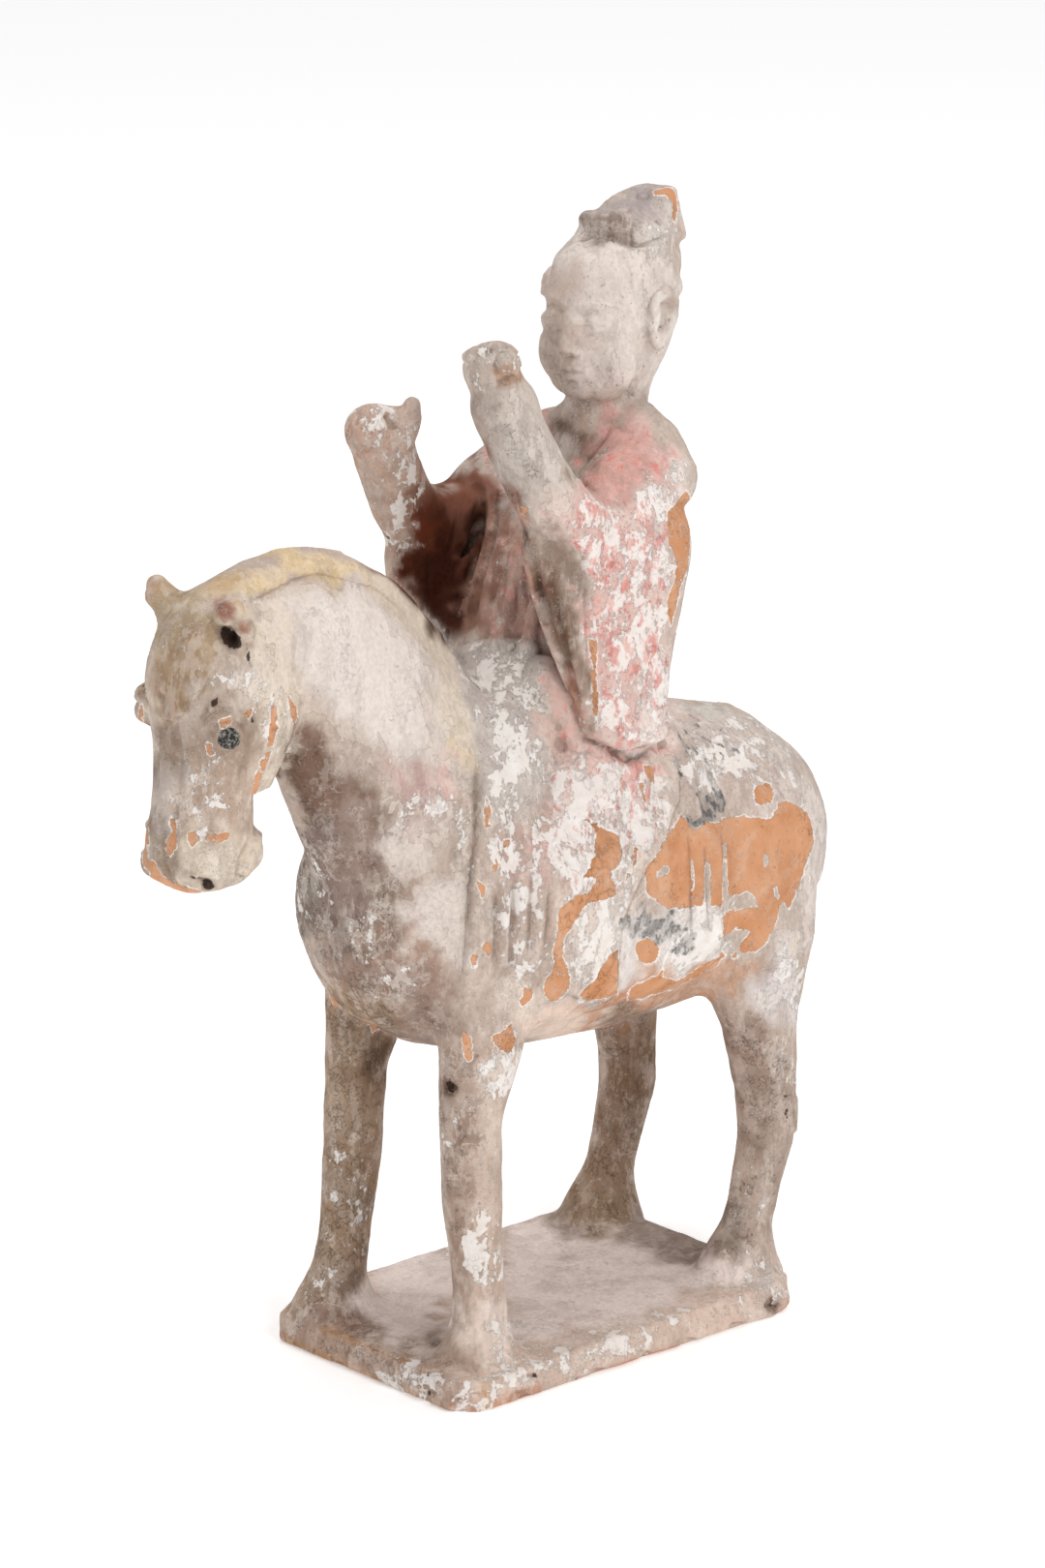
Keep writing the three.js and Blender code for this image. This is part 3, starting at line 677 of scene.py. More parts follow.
FRONT_FOLDS_OF_ROBE = [
    ([(501, 500), (494, 555), (480, 605), (462, 655)], 3.4, -2.0, 0.2),
    ([(506, 500), (504, 545), (492, 600), (478, 655)], 2.2, 1.4, 0.2),
    ([(514, 510), (509, 555), (497, 600), (484, 655)], 1.5, -1.3, 0.2),
    ([(520, 530), (514, 580), (504, 620), (497, 655)], 2.2, 0.8, 0.3),
    ([(527, 545), (522, 600), (514, 656)], 1.0, -0.7, 0.3),
    ([(533, 560), (535, 610), (532, 656)], 1.0, -0.6, 0.3),
    ([(540, 580), (544, 620), (552, 660)], 1.2, -0.6, 0.3),
    ([(418, 545), (421, 590), (430, 630)], 1.6, -1.0, 0.3),
    ([(440, 540), (446, 590), (446, 640)], 1.6, -0.8, 0.3),
    ([(412, 515), (407, 560), (412, 605)], 2.0, 0.8, 0.3),
    ([(466, 520), (460, 570), (452, 620)], 2.4, 0.8, 0.3),
]
SHOULDER_AND_SLEEVE = [
    ([(594, 497), (604, 482), (616, 467), (626, 454), (635, 440)], 2.0, -1.2),
    ([(655, 456), (661, 470), (664, 488)], 2.4, -0.6),
    ([(640, 520), (637, 600), (634, 700)], 6, -0.7),
    ([(672, 500), (676, 600), (672, 735)], 6, -0.6),
]
NEAR_FIST = [
    ([(512, 396), (526, 391), (541, 391)], 1.7, -1.8),
    ([(517, 392), (511, 378), (516, 364), (528, 357)], 1.3, -0.9),
    ([(522, 362), (534, 368), (539, 380)], 3.0, 0.9),
    ([(494, 362), (488, 376)], 1.3, -0.6),
    ([(502, 358), (498, 372)], 1.3, -0.6),
]
FAR_FIST = [
    ([(398, 424), (404, 432), (408, 446)], 2.2, -2.0),
    ([(372, 424), (366, 440)], 1.3, -0.7),
    ([(384, 421), (380, 438)], 1.3, -0.7),
    ([(360, 432), (358, 450)], 1.3, -0.6),
]
cut.ledges(ROBE_EDGES)
for rows in (HEM_CRACK, SLEEVE_FOLDS, FRONT_FOLDS_OF_ROBE, SHOULDER_AND_SLEEVE, NEAR_FIST, FAR_FIST):
    cut.lines(rows)

# The rider's eyes lie in shallow sockets, and the lids, nostrils and lips are marked with a pointed tool,
# at even distances on the soft clay.
for side in (-1, 1):
    inner, outer = side * 4, side * 11
    socket = [
        (side * 3.4, 13.8, EYE_LINE + 1.5), (side * 5.4, 14, EYE_LINE + 3.4),
        (side * 10, 15.6, EYE_LINE + 4),
    ]
    lids_meet = [
        (inner, 14.6, EYE_LINE - 0.4), (side * 7.6, 14, EYE_LINE - 0.4), (outer, 16.6, EYE_LINE - 0.2),
    ]
    under_eye = [
        (inner, 15, EYE_LINE - 3.6), (side * 7.5, 14.6, EYE_LINE - 4.6), (outer, 17, EYE_LINE - 3.4),
    ]
    nose_side = [
        (side * 3.6, 13.2, EYE_LINE - 1), (side * 3.4, 13, EYE_LINE - 5), (side * 4.4, 13.4, NOSE_BASE + 2),
    ]
    cheek = [(side * 4.4, 13.6, NOSE_BASE), (side * 6.2, 15, MOUTH + 1.5), (side * 6.4, 16, MOUTH - 1)]
    nostril = [(side * 1.0, 11.5, NOSE_BASE), (side * 2.2, 12, NOSE_BASE + 0.1)]
    cut.line(on_face(socket), 2.6, -0.9)
    cut.line(on_face(lids_meet), 1.1, -0.6)
    cut.line(on_face(under_eye), 2.4, -0.5)
    cut.line(on_face(nose_side), 2.2, -0.4)
    cut.line(on_face(cheek), 2.2, -0.35)
    cut.line(on_face(nostril), 1.2, -0.9, ends=0)
lips_meet = [
    (-4.6, 15, MOUTH + 0.1), (-2, 13, MOUTH - 0.3), (0, 12.4, MOUTH),
    (2, 13, MOUTH - 0.3), (4.6, 15, MOUTH + 0.1),
]
under_lip = [(-2.6, 14.4, MOUTH - 4), (0, 13.6, MOUTH - 4.2), (2.6, 14.4, MOUTH - 4)]
ear_hollow = [
    (20.6, 31, EYE_LINE + 4.6), (21, 34, EYE_LINE + 4), (21, 34, EYE_LINE), (20.8, 32, EYE_LINE - 4.6),
]
cut.line(on_face(lips_meet), 1.1, -0.9)
cut.line(on_face(under_lip), 1.9, -0.7)
cut.line(on_face(ear_hollow), 1.7, -1.9)

# The cap is pressed from the same clay. A crack runs round under its rim, and its peak has dents and a
# small hole.
CAP_LINES = [
    ([(676, 252), (662, 253), (646, 251), (630, 246), (612, 245), (596, 247)], 1.5, -0.8),
    ([(603, 228), (615, 225), (632, 227), (648, 230)], 1.4, -0.7),
    ([(655, 203), (664, 201), (673, 201)], 2.4, -1.2),
    ([(636, 217), (646, 218), (653, 216)], 2.0, -0.7),
    ([(680, 228), (682, 231)], 1.0, -2.0, 0),
    ([(690, 278), (697, 284), (701, 296)], 2.0, 0.8),
]
cut.lines(CAP_LINES)

# The slab's edges are chipped and pitted by wear and burial, and the near foreleg has a pit at the elbow.
# Each pit is a short dent, with its place, width and depth.
PITS = [
    (552, 1421, 2.4, -1.2), (595, 1425, 2.0, -1.0), (443, 1439, 2.0, -1.2), (800, 1350, 2.6, -2.0),
    (797, 1346, 2.0, -1.2), (620, 1418, 2.2, -1.2), (667, 1398, 2.0, -1.2), (712, 1386, 2.2, -1.4),
    (764, 1372, 2.4, -1.6), (540, 1440, 2.4, -1.2), (470, 1444, 1.6, -1.0), (492, 1440, 1.6, -0.8),
    (466, 1124, 2.0, -2.0), (480, 1190, 1.4, -0.8), (350, 1410, 2.0, -1.0),
]
LEG_LINES = [
    ([(690, 1042), (706, 1035), (726, 1044)], 1.6, -1.0),
    ([(818, 1130), (822, 1150), (818, 1172)], 4.0, 0.9),
]
for u, v, width, depth in PITS:
    cut.line([(u - 3, v), (u + 3, v + 1)], width, depth, ends=0)
cut.lines(LEG_LINES)
cut.press()

# Every surface of the clay is a little uneven from the hand, the fingers and the ground it lay in. Each
# unevenness has a size in metres and a height in millimetres.
UNEVEN = [("hand", 0.016, 0.9), ("fingers", 0.006, 0.35), ("burial", 0.0022, 0.16)]
for name, size, strength in UNEVEN:
    lumps = bpy.data.textures.new(name, "CLOUDS")
    lumps.noise_scale = size
    lumps.noise_depth = 1
    work(clay, "DISPLACE", texture=lumps, texture_coords="LOCAL", strength=strength * MM, mid_level=0.5)
LIMIT = 194000
work(clay, "DECIMATE", ratio=min(1.0, LIMIT / (2 * len(clay.data.polygons))))

# The slab's underside is flat from the board that the clay dried on.
board = read(clay, "co")
board[:, 2] = board[:, 2].clip(0)
clay.data.vertices.foreach_set("co", board.astype(np.float32).ravel())
clay.data.update()

# The paint and its losses. White slip was laid over the fired clay and coloured on top: black on the
# saddle, rose on the robe, ochre on the mane. Much has flaked off in the ground. Each outline below is
# given by where it is seen, as the carving is, and is repeated loosely on the far side.
BARE = [
    (1.0, [(747, 846), (767, 843), (796, 846), (805, 830), (812, 827), (828, 834), (838, 846),
        (841, 872), (833, 892), (825, 917), (815, 940), (809, 932), (802, 945), (780, 932), (773, 924),
        (757, 935), (751, 924), (748, 885)]),
    (1.0, [(686, 868), (705, 841), (717, 858), (718, 938), (689, 940), (668, 922), (666, 896),
        (678, 886)]),
    (1.0, [(716, 860), (728, 849), (748, 851), (748, 885), (747, 936), (734, 936), (733, 893),
        (728, 893), (727, 936), (716, 936)]),
    (1.0, [(748, 943), (780, 937), (805, 946), (796, 966), (789, 979), (770, 985), (760, 990),
        (743, 988), (747, 963)]),
    (1.0, [(778, 821), (781, 812), (794, 808), (801, 819), (796, 830), (781, 831)]),
    (1.0, [(614, 851), (628, 858), (639, 864), (644, 879), (641, 895), (629, 903), (638, 914),
        (638, 926), (612, 932), (601, 940), (591, 959), (584, 967), (581, 988), (589, 1008),
        (587, 1022), (576, 1035), (564, 1032), (561, 1014), (573, 1001), (572, 988), (576, 950),
        (576, 940), (589, 930), (609, 921), (619, 905), (612, 892), (619, 872)]),
    (1.0, [(597, 1029), (617, 1011), (624, 992), (638, 981), (640, 1005), (638, 1029), (609, 1034)]),
    (1.0, [(656, 975), (670, 968), (681, 979), (680, 992), (667, 996), (659, 992)]),
    (1.0, [(655, 1017), (680, 1008), (685, 992), (685, 1011), (702, 1013), (728, 996), (747, 988),
        (741, 998), (696, 1021), (664, 1032), (646, 1032)]),
    (1.0, [(664, 789), (673, 792), (678, 801), (676, 810), (669, 805)]),
    (1.0, [(660, 808), (665, 808), (667, 830), (662, 824)]),
    (1.0, [(651, 888), (660, 866), (659, 888), (647, 911)]),
    (1.0, [(502, 820), (508, 837), (507, 855), (502, 855), (500, 837)]),
    (1.0, [(521, 866), (528, 866), (526, 878), (520, 877)]),
    (1.0, [(511, 885), (516, 892), (512, 903), (509, 895)]),
    (1.0, [(490, 908), (500, 913), (503, 926), (499, 929), (494, 917)]),
    (1.0, [(496, 984), (502, 971), (509, 978), (505, 990)]),
    (1.0, [(487, 984), (494, 987), (493, 998), (486, 1002)]),
    (1.0, [(479, 1068), (486, 1071), (488, 1094), (484, 1096), (481, 1084)]),
    (1.0, [(508, 1071), (522, 1069), (526, 1056), (529, 1070), (529, 1087), (512, 1078)]),
    (1.0, [(602, 846), (609, 844), (620, 856), (620, 903), (601, 909), (609, 892), (618, 884),
        (615, 856)]),
    (1.0, [(689, 528), (699, 519), (709, 506), (715, 519), (714, 547), (712, 581), (702, 612),
        (693, 647), (689, 623), (700, 588), (696, 568), (690, 561)]),
    (0.85, [(607, 661), (617, 659), (617, 680), (615, 697), (611, 685)]),
    (0.85, [(610, 695), (616, 695), (620, 725), (616, 757), (612, 735)]),
    (0.5, [(532, 518), (551, 523), (547, 538), (537, 533)]),
    (1.0, [(281, 712), (286, 725), (288, 744), (285, 762), (279, 781), (273, 797), (268, 812),
        (263, 827), (259, 823), (265, 800), (274, 775), (279, 750)]),
    (1.0, [(299, 721), (306, 731), (308, 745), (303, 746), (300, 734)]),
    (1.0, [(194, 860), (204, 858), (207, 868), (198, 876), (194, 868)]),
    (1.0, [(212, 863), (236, 860), (238, 866), (226, 871), (213, 868)]),
    (1.0, [(171, 868), (180, 858), (184, 864), (181, 880), (173, 888)]),
    (1.0, [(151, 890), (159, 890), (166, 904), (178, 912), (200, 918), (222, 925), (215, 931),
        (190, 928), (167, 918), (156, 908)]),
    (0.8, [(148, 872), (153, 876), (152, 898), (147, 896)]),
    (1.0, [(148, 850), (153, 855), (154, 872), (148, 872)]),
    (1.0, [(143, 730), (147, 727), (149, 738), (147, 748), (143, 744)]),
    (1.0, [(176, 845), (184, 848), (182, 858), (176, 856)]),
    (1.0, [(226, 745), (238, 741), (239, 746), (233, 752), (227, 753)]),
    (1.0, [(250, 738), (264, 730), (267, 733), (255, 742)]),
    (1.0, [(213, 766), (219, 769), (222, 780), (216, 783), (212, 775)]),
    (1.0, [(674, 197), (685, 194), (695, 195), (699, 202), (700, 216), (698, 230), (695, 229),
        (695, 210), (688, 201), (676, 202)]),
    (1.0, [(541, 1019), (549, 1020), (550, 1031), (539, 1041), (536, 1035), (542, 1028)]),
    (1.0, [(509, 1069), (523, 1067), (528, 1056), (533, 1074), (524, 1088), (510, 1080)]),
    (1.0, [(479, 1067), (484, 1072), (486, 1097), (481, 1097)]),
]
STRIPS = [
    (0.1, [(714, 884), (717, 884), (719, 962), (715, 962)]),
    (0.1, [(729, 890), (733, 890), (735, 962), (730, 962)]),
    (0.2, [(747, 870), (751, 870), (753, 935), (748, 935)]),
    (0.1, [(747, 968), (757, 961), (770, 958), (776, 963), (766, 974), (764, 984), (752, 988),
        (744, 982)]),
    (0.1, [(786, 884), (791, 881), (796, 892), (790, 896)]),
    (0.1, [(798, 918), (804, 914), (806, 926), (801, 932)]),
    (0.2, [(752, 926), (775, 920), (780, 928), (760, 936)]),
    (0.1, [(676, 902), (688, 893), (694, 898), (684, 908)]),
]
SOOT = [
    (0.36, [(475, 679), (509, 667), (535, 668), (559, 684), (567, 714), (564, 746), (560, 775),
        (552, 792), (535, 795), (518, 782), (505, 759), (494, 730), (486, 705)]),
    (0.8, [(646, 942), (655, 926), (672, 924), (686, 938), (706, 948), (714, 966), (712, 988),
        (696, 996), (683, 983), (667, 967), (648, 967)]),
    (0.9, [(696, 746), (710, 759), (747, 758), (772, 769), (762, 777), (735, 767), (720, 779),
        (715, 795), (707, 775)]),
    (0.95, [(718, 824), (744, 819), (754, 840), (747, 851), (728, 853), (712, 851)]),
    (0.9, [(730, 784), (743, 790), (739, 821), (728, 821)]),
    (0.8, [(797, 788), (810, 788), (809, 794), (799, 793)]),
    (0.5, [(512, 834), (518, 827), (526, 834), (525, 843), (515, 845)]),
    (0.8, [(221, 725), (227, 720), (224, 730), (216, 734)]),
    (0.5, [(512, 828), (521, 827), (528, 837), (526, 848), (518, 851), (512, 842)]),
]
ROSE = [
    (0.55, [(630, 434), (658, 434), (686, 446), (698, 471), (688, 496), (661, 512), (630, 519),
        (602, 516), (596, 495), (616, 465)]),
    (0.58, [(596, 519), (661, 519), (689, 526), (696, 581), (689, 643), (685, 685), (689, 719),
        (685, 768), (654, 774), (620, 761), (618, 685), (606, 661), (599, 581)]),
    (0.45, [(564, 695), (592, 706), (616, 754), (640, 774), (689, 768), (690, 788), (564, 788)]),
    (0.42, [(562, 698), (605, 759), (644, 775), (693, 746), (696, 821), (683, 885), (644, 930),
        (599, 930), (547, 917), (544, 846), (567, 821), (573, 769)]),
    (0.6, [(558, 680), (572, 690), (602, 745), (590, 752), (566, 720)]),
    (0.44, [(516, 533), (544, 561), (571, 650), (571, 685), (537, 661), (502, 657), (506, 602)]),
    (0.3, [(446, 788), (461, 783), (469, 797), (469, 819), (449, 822), (442, 806)]),
    (0.82, [(622, 776), (640, 788), (690, 775), (694, 796), (640, 804), (618, 792)]),
    (0.8, [(598, 520), (608, 520), (612, 610), (600, 610)]),
    (0.8, [(622, 640), (630, 640), (632, 700), (622, 705), (618, 690)]),
]
CHALK = [
    (0.57, [(556, 800), (580, 780), (640, 790), (690, 800), (690, 860), (655, 900), (640, 960),
        (636, 1020), (600, 1030), (585, 1000), (600, 930), (560, 880)]),
    (0.46, [(500, 780), (540, 780), (545, 830), (560, 900), (560, 1010), (545, 1040), (520, 1020),
        (510, 960), (500, 900)]),
    (0.53, [(600, 512), (660, 520), (690, 500), (700, 470), (712, 520), (700, 560), (696, 640),
        (692, 745), (650, 772), (614, 745), (604, 620)]),
    (0.6, [(712, 940), (752, 930), (745, 985), (715, 1000), (690, 1005), (690, 945)]),
    (0.6, [(716, 765), (770, 760), (790, 790), (745, 800), (735, 820), (715, 800)]),
    (0.62, [(505, 1060), (530, 1080), (525, 1140), (500, 1130)]),
    (0.62, [(486, 1280), (508, 1266), (520, 1325), (504, 1336), (484, 1312)]),
    (0.42, [(505, 1368), (536, 1366), (542, 1404), (515, 1404)]),
    (0.4, [(455, 1135), (480, 1140), (474, 1205), (455, 1190)]),
    (0.42, [(362, 930), (394, 922), (392, 980), (360, 988)]),
    (0.38, [(296, 890), (330, 868), (342, 960), (306, 950)]),
    (0.46, [(392, 818), (470, 810), (480, 850), (400, 855)]),
    (0.46, [(470, 840), (484, 850), (482, 905), (466, 900)]),
    (0.4, [(380, 1010), (430, 1000), (440, 1030), (400, 1040)]),
    (0.38, [(786, 1080), (826, 1060), (824, 1110), (796, 1118)]),
    (0.36, [(755, 1205), (795, 1195), (790, 1260), (756, 1262)]),
    (0.38, [(720, 1300), (790, 1290), (806, 1320), (740, 1340)]),
    (0.36, [(345, 1180), (380, 1160), (384, 1260), (350, 1290)]),
    (0.36, [(296, 1320), (340, 1310), (350, 1350), (300, 1360)]),
    (0.46, [(500, 1412), (700, 1350), (700, 1378), (500, 1448)]),
    (0.4, [(700, 1345), (820, 1310), (820, 1350), (700, 1380)]),
    (0.62, [(470, 1425), (500, 1425), (500, 1455), (470, 1450)]),
    (0.62, [(400, 1400), (450, 1425), (450, 1455), (400, 1435)]),
    (0.62, [(798, 990), (822, 985), (820, 1040), (790, 1040)]),
    (0.36, [(200, 870), (245, 870), (240, 905), (200, 895)]),
    (0.02, [(415, 500), (470, 490), (512, 490), (500, 600), (478, 668), (440, 660), (412, 620)]),
    (0.3, [(520, 540), (541, 560), (565, 664), (495, 664), (508, 600)]),
    (0.2, [(545, 548), (606, 612), (612, 748), (582, 690)]),
    (0.26, [(160, 610), (230, 640), (220, 690), (190, 738), (165, 738), (155, 650)]),
    (0.22, [(440, 1290), (560, 1255), (740, 1300), (800, 1310), (530, 1405), (330, 1360)]),
    (0.17, [(556, 250), (680, 246), (706, 300), (700, 400), (690, 440), (600, 450), (575, 420),
        (550, 340)]),
    (0.5, [(475, 679), (509, 667), (545, 668), (565, 700), (564, 750), (552, 800), (520, 800),
        (494, 740)]),
    (0.45, [(655, 228), (680, 214), (694, 230), (690, 254), (660, 252)]),
    (0.02, [(226, 643), (242, 648), (250, 664), (246, 684), (240, 668), (228, 664)]),
    (0.02, [(205, 907), (216, 906), (223, 915), (216, 922), (207, 919)]),
    (0.46, [(184, 786), (214, 792), (232, 836), (200, 862), (182, 850)]),
    (0.44, [(262, 700), (298, 700), (300, 790), (268, 800)]),
    (0.42, [(214, 690), (252, 690), (248, 716), (226, 724)]),
    (0.44, [(352, 415), (400, 412), (434, 420), (430, 480), (395, 510), (372, 480)]),
    (0.42, [(388, 500), (430, 490), (424, 560), (400, 580)]),
    (0.44, [(478, 355), (540, 352), (540, 380), (500, 400), (484, 390)]),
    (0.5, [(690, 470), (716, 500), (712, 545), (690, 530), (672, 500)]),
    (0.64, [(487, 1268), (510, 1262), (520, 1320), (504, 1336), (486, 1310)]),
    (0.47, [(500, 1362), (538, 1362), (545, 1402), (506, 1402)]),
    (0.42, [(760, 1288), (800, 1288), (806, 1316), (760, 1326)]),
    (0.43, [(700, 735), (800, 740), (850, 830), (800, 830), (760, 800)]),
    (0.4, [(840, 840), (856, 850), (856, 960), (840, 960)]),
]
# Where soil darkens the slip in clouds. The heavy patches lie on the horse's chest, throat and legs, on the
# slab's front, on the forearm, the left of the face, under the chin and under the cap's rim, much of it
# where the figure is in shade, so they are painted shade as well as soil.
DIRT_AND_SHADE = [
    (0.5, [(300, 900), (345, 850), (400, 860), (420, 930), (430, 1000), (470, 1060), (430, 1075),
        (340, 1010), (305, 960)]),
    (0.65, [(330, 1020), (415, 1050), (412, 1120), (390, 1220), (380, 1350), (300, 1360), (330, 1200)]),
    (0.65, [(620, 1068), (690, 1058), (680, 1130), (655, 1260), (570, 1265), (615, 1180)]),
    (0.65, [(455, 1090), (480, 1100), (480, 1350), (450, 1400), (460, 1250)]),
    (0.65, [(735, 1040), (790, 1070), (830, 1120), (820, 1200), (780, 1290), (720, 1310), (770, 1200),
        (760, 1100)]),
    (0.1, [(165, 610), (230, 640), (220, 690), (190, 735), (165, 735), (160, 650)]),
    (0.16, [(440, 1290), (560, 1255), (740, 1300), (800, 1310), (530, 1400), (460, 1400), (330, 1360)]),
    (0.15, [(262, 610), (340, 588), (436, 652), (484, 745), (474, 790), (396, 790), (330, 734),
        (292, 700)]),
    (0.6, [(500, 440), (535, 430), (550, 480), (548, 520), (530, 515), (508, 480)]),
    (0.65, [(305, 770), (345, 775), (345, 850), (320, 870), (285, 800)]),
    (0.2, [(395, 560), (520, 470), (545, 550), (600, 740), (560, 745), (470, 655), (400, 600)]),
    (0.65, [(295, 1340), (460, 1400), (480, 1470), (290, 1390)]),
    (0.55, [(668, 295), (700, 300), (700, 355), (665, 385), (655, 420), (640, 420), (664, 350)]),
    (0.5, [(575, 385), (650, 398), (634, 430), (590, 440)]),
    (0.6, [(592, 225), (660, 225), (690, 245), (690, 262), (596, 250)]),
    (0.5, [(590, 285), (640, 290), (635, 330), (590, 322)]),
]
PALE = [
    (0.72, [(262, 622), (300, 606), (340, 602), (384, 616), (420, 660), (450, 706), (462, 745),
        (456, 780), (434, 766), (420, 778), (396, 790), (372, 788), (352, 766), (330, 734), (308, 736),
        (292, 700), (268, 650)]),
    (0.35, [(352, 640), (360, 636), (364, 672), (372, 706), (362, 706), (352, 676)]),
    (0.4, [(320, 632), (330, 628), (332, 654), (322, 656)]),
    (0.45, [(440, 730), (458, 728), (458, 752), (440, 754)]),
    (1.0, [(391, 866), (399, 859), (426, 863), (443, 872), (443, 895), (428, 909), (411, 907),
        (399, 895)]),
    (0.8, [(395, 826), (414, 822), (416, 862), (398, 862)]),
    (0.75, [(445, 826), (466, 824), (468, 870), (448, 874)]),
    (1.0, [(416, 930), (430, 918), (453, 913), (480, 915), (489, 918), (489, 949), (480, 1007),
        (472, 999), (461, 972), (441, 970), (420, 957)]),
    (0.75, [(361, 945), (372, 936), (380, 950), (374, 972), (363, 966)]),
    (0.75, [(472, 784), (490, 790), (489, 911), (478, 908), (480, 850)]),
    (0.6, [(384, 984), (400, 980), (434, 1012), (420, 1024), (392, 1006)]),
    (0.55, [(560, 780), (700, 770), (700, 860), (640, 960), (636, 1028), (580, 1030), (570, 900)]),
    (0.6, [(820, 790), (856, 850), (856, 930), (835, 1000), (822, 1060), (786, 1050), (775, 1000),
        (815, 960), (830, 880)]),
    (0.55, [(484, 1075), (536, 1070), (520, 1140), (500, 1150)]),
    (0.65, [(556, 250), (680, 246), (700, 300), (686, 390), (610, 410), (575, 400), (556, 340)]),
    (0.5, [(520, 402), (552, 402), (580, 470), (604, 500), (590, 530), (560, 520), (530, 480)]),
    (0.7, [(240, 650), (262, 660), (296, 690), (296, 700), (262, 706), (236, 738), (222, 735),
        (226, 700)]),
    (0.62, [(262, 720), (272, 730), (268, 760), (258, 752)]),
    (0.6, [(184, 790), (196, 794), (204, 830), (226, 836), (232, 856), (214, 852), (196, 864),
        (184, 860)]),
    (0.7, [(190, 880), (240, 884), (236, 908), (212, 900), (196, 910)]),
    (0.6, [(284, 740), (300, 752), (294, 790), (280, 800)]),
]
# The dark insides of holes and pits: soil, and painted shade.
HOLES_SOIL_AND_SHADE = [
    (1.0, [(228, 646), (238, 648), (248, 658), (250, 668), (242, 672), (230, 664)]),
    (0.9, [(254, 668), (258, 668), (258, 684), (255, 684)]),
    (1.0, [(208, 910), (215, 907), (222, 913), (220, 920), (211, 918)]),
    (0.8, [(192, 905), (204, 905), (203, 909), (193, 909)]),
    (0.75, [(217, 724), (225, 720), (226, 728), (218, 732)]),
    (0.7, [(258, 738), (262, 738), (263, 748), (259, 748)]),
    (0.72, [(460, 1118), (466, 1115), (471, 1121), (469, 1131), (463, 1129)]),
    (0.62, [(479, 1187), (483, 1186), (484, 1193), (480, 1194)]),
    (0.7, [(797, 1345), (802, 1345), (803, 1351), (798, 1351)]),
    (0.66, [(441, 1435), (446, 1436), (446, 1443), (442, 1443)]),
    (0.8, [(550, 1418), (555, 1418), (555, 1424), (550, 1424)]),
    (0.7, [(593, 1422), (598, 1422), (598, 1428), (593, 1428)]),
    (0.7, [(726, 1036), (732, 1038), (730, 1043), (726, 1042)]),
    (0.58, [(806, 1130), (816, 1130), (816, 1136), (807, 1135)]),
    (0.55, [(808, 1142), (816, 1142), (815, 1158), (809, 1158)]),
    (0.6, [(276, 700), (279, 700), (280, 716), (277, 716)]),
]
PUPIL = [
    (1.0, [(225, 762), (229, 754), (236, 751), (243, 753), (248, 760), (247, 769), (240, 775),
        (230, 773), (225, 768)]),
]
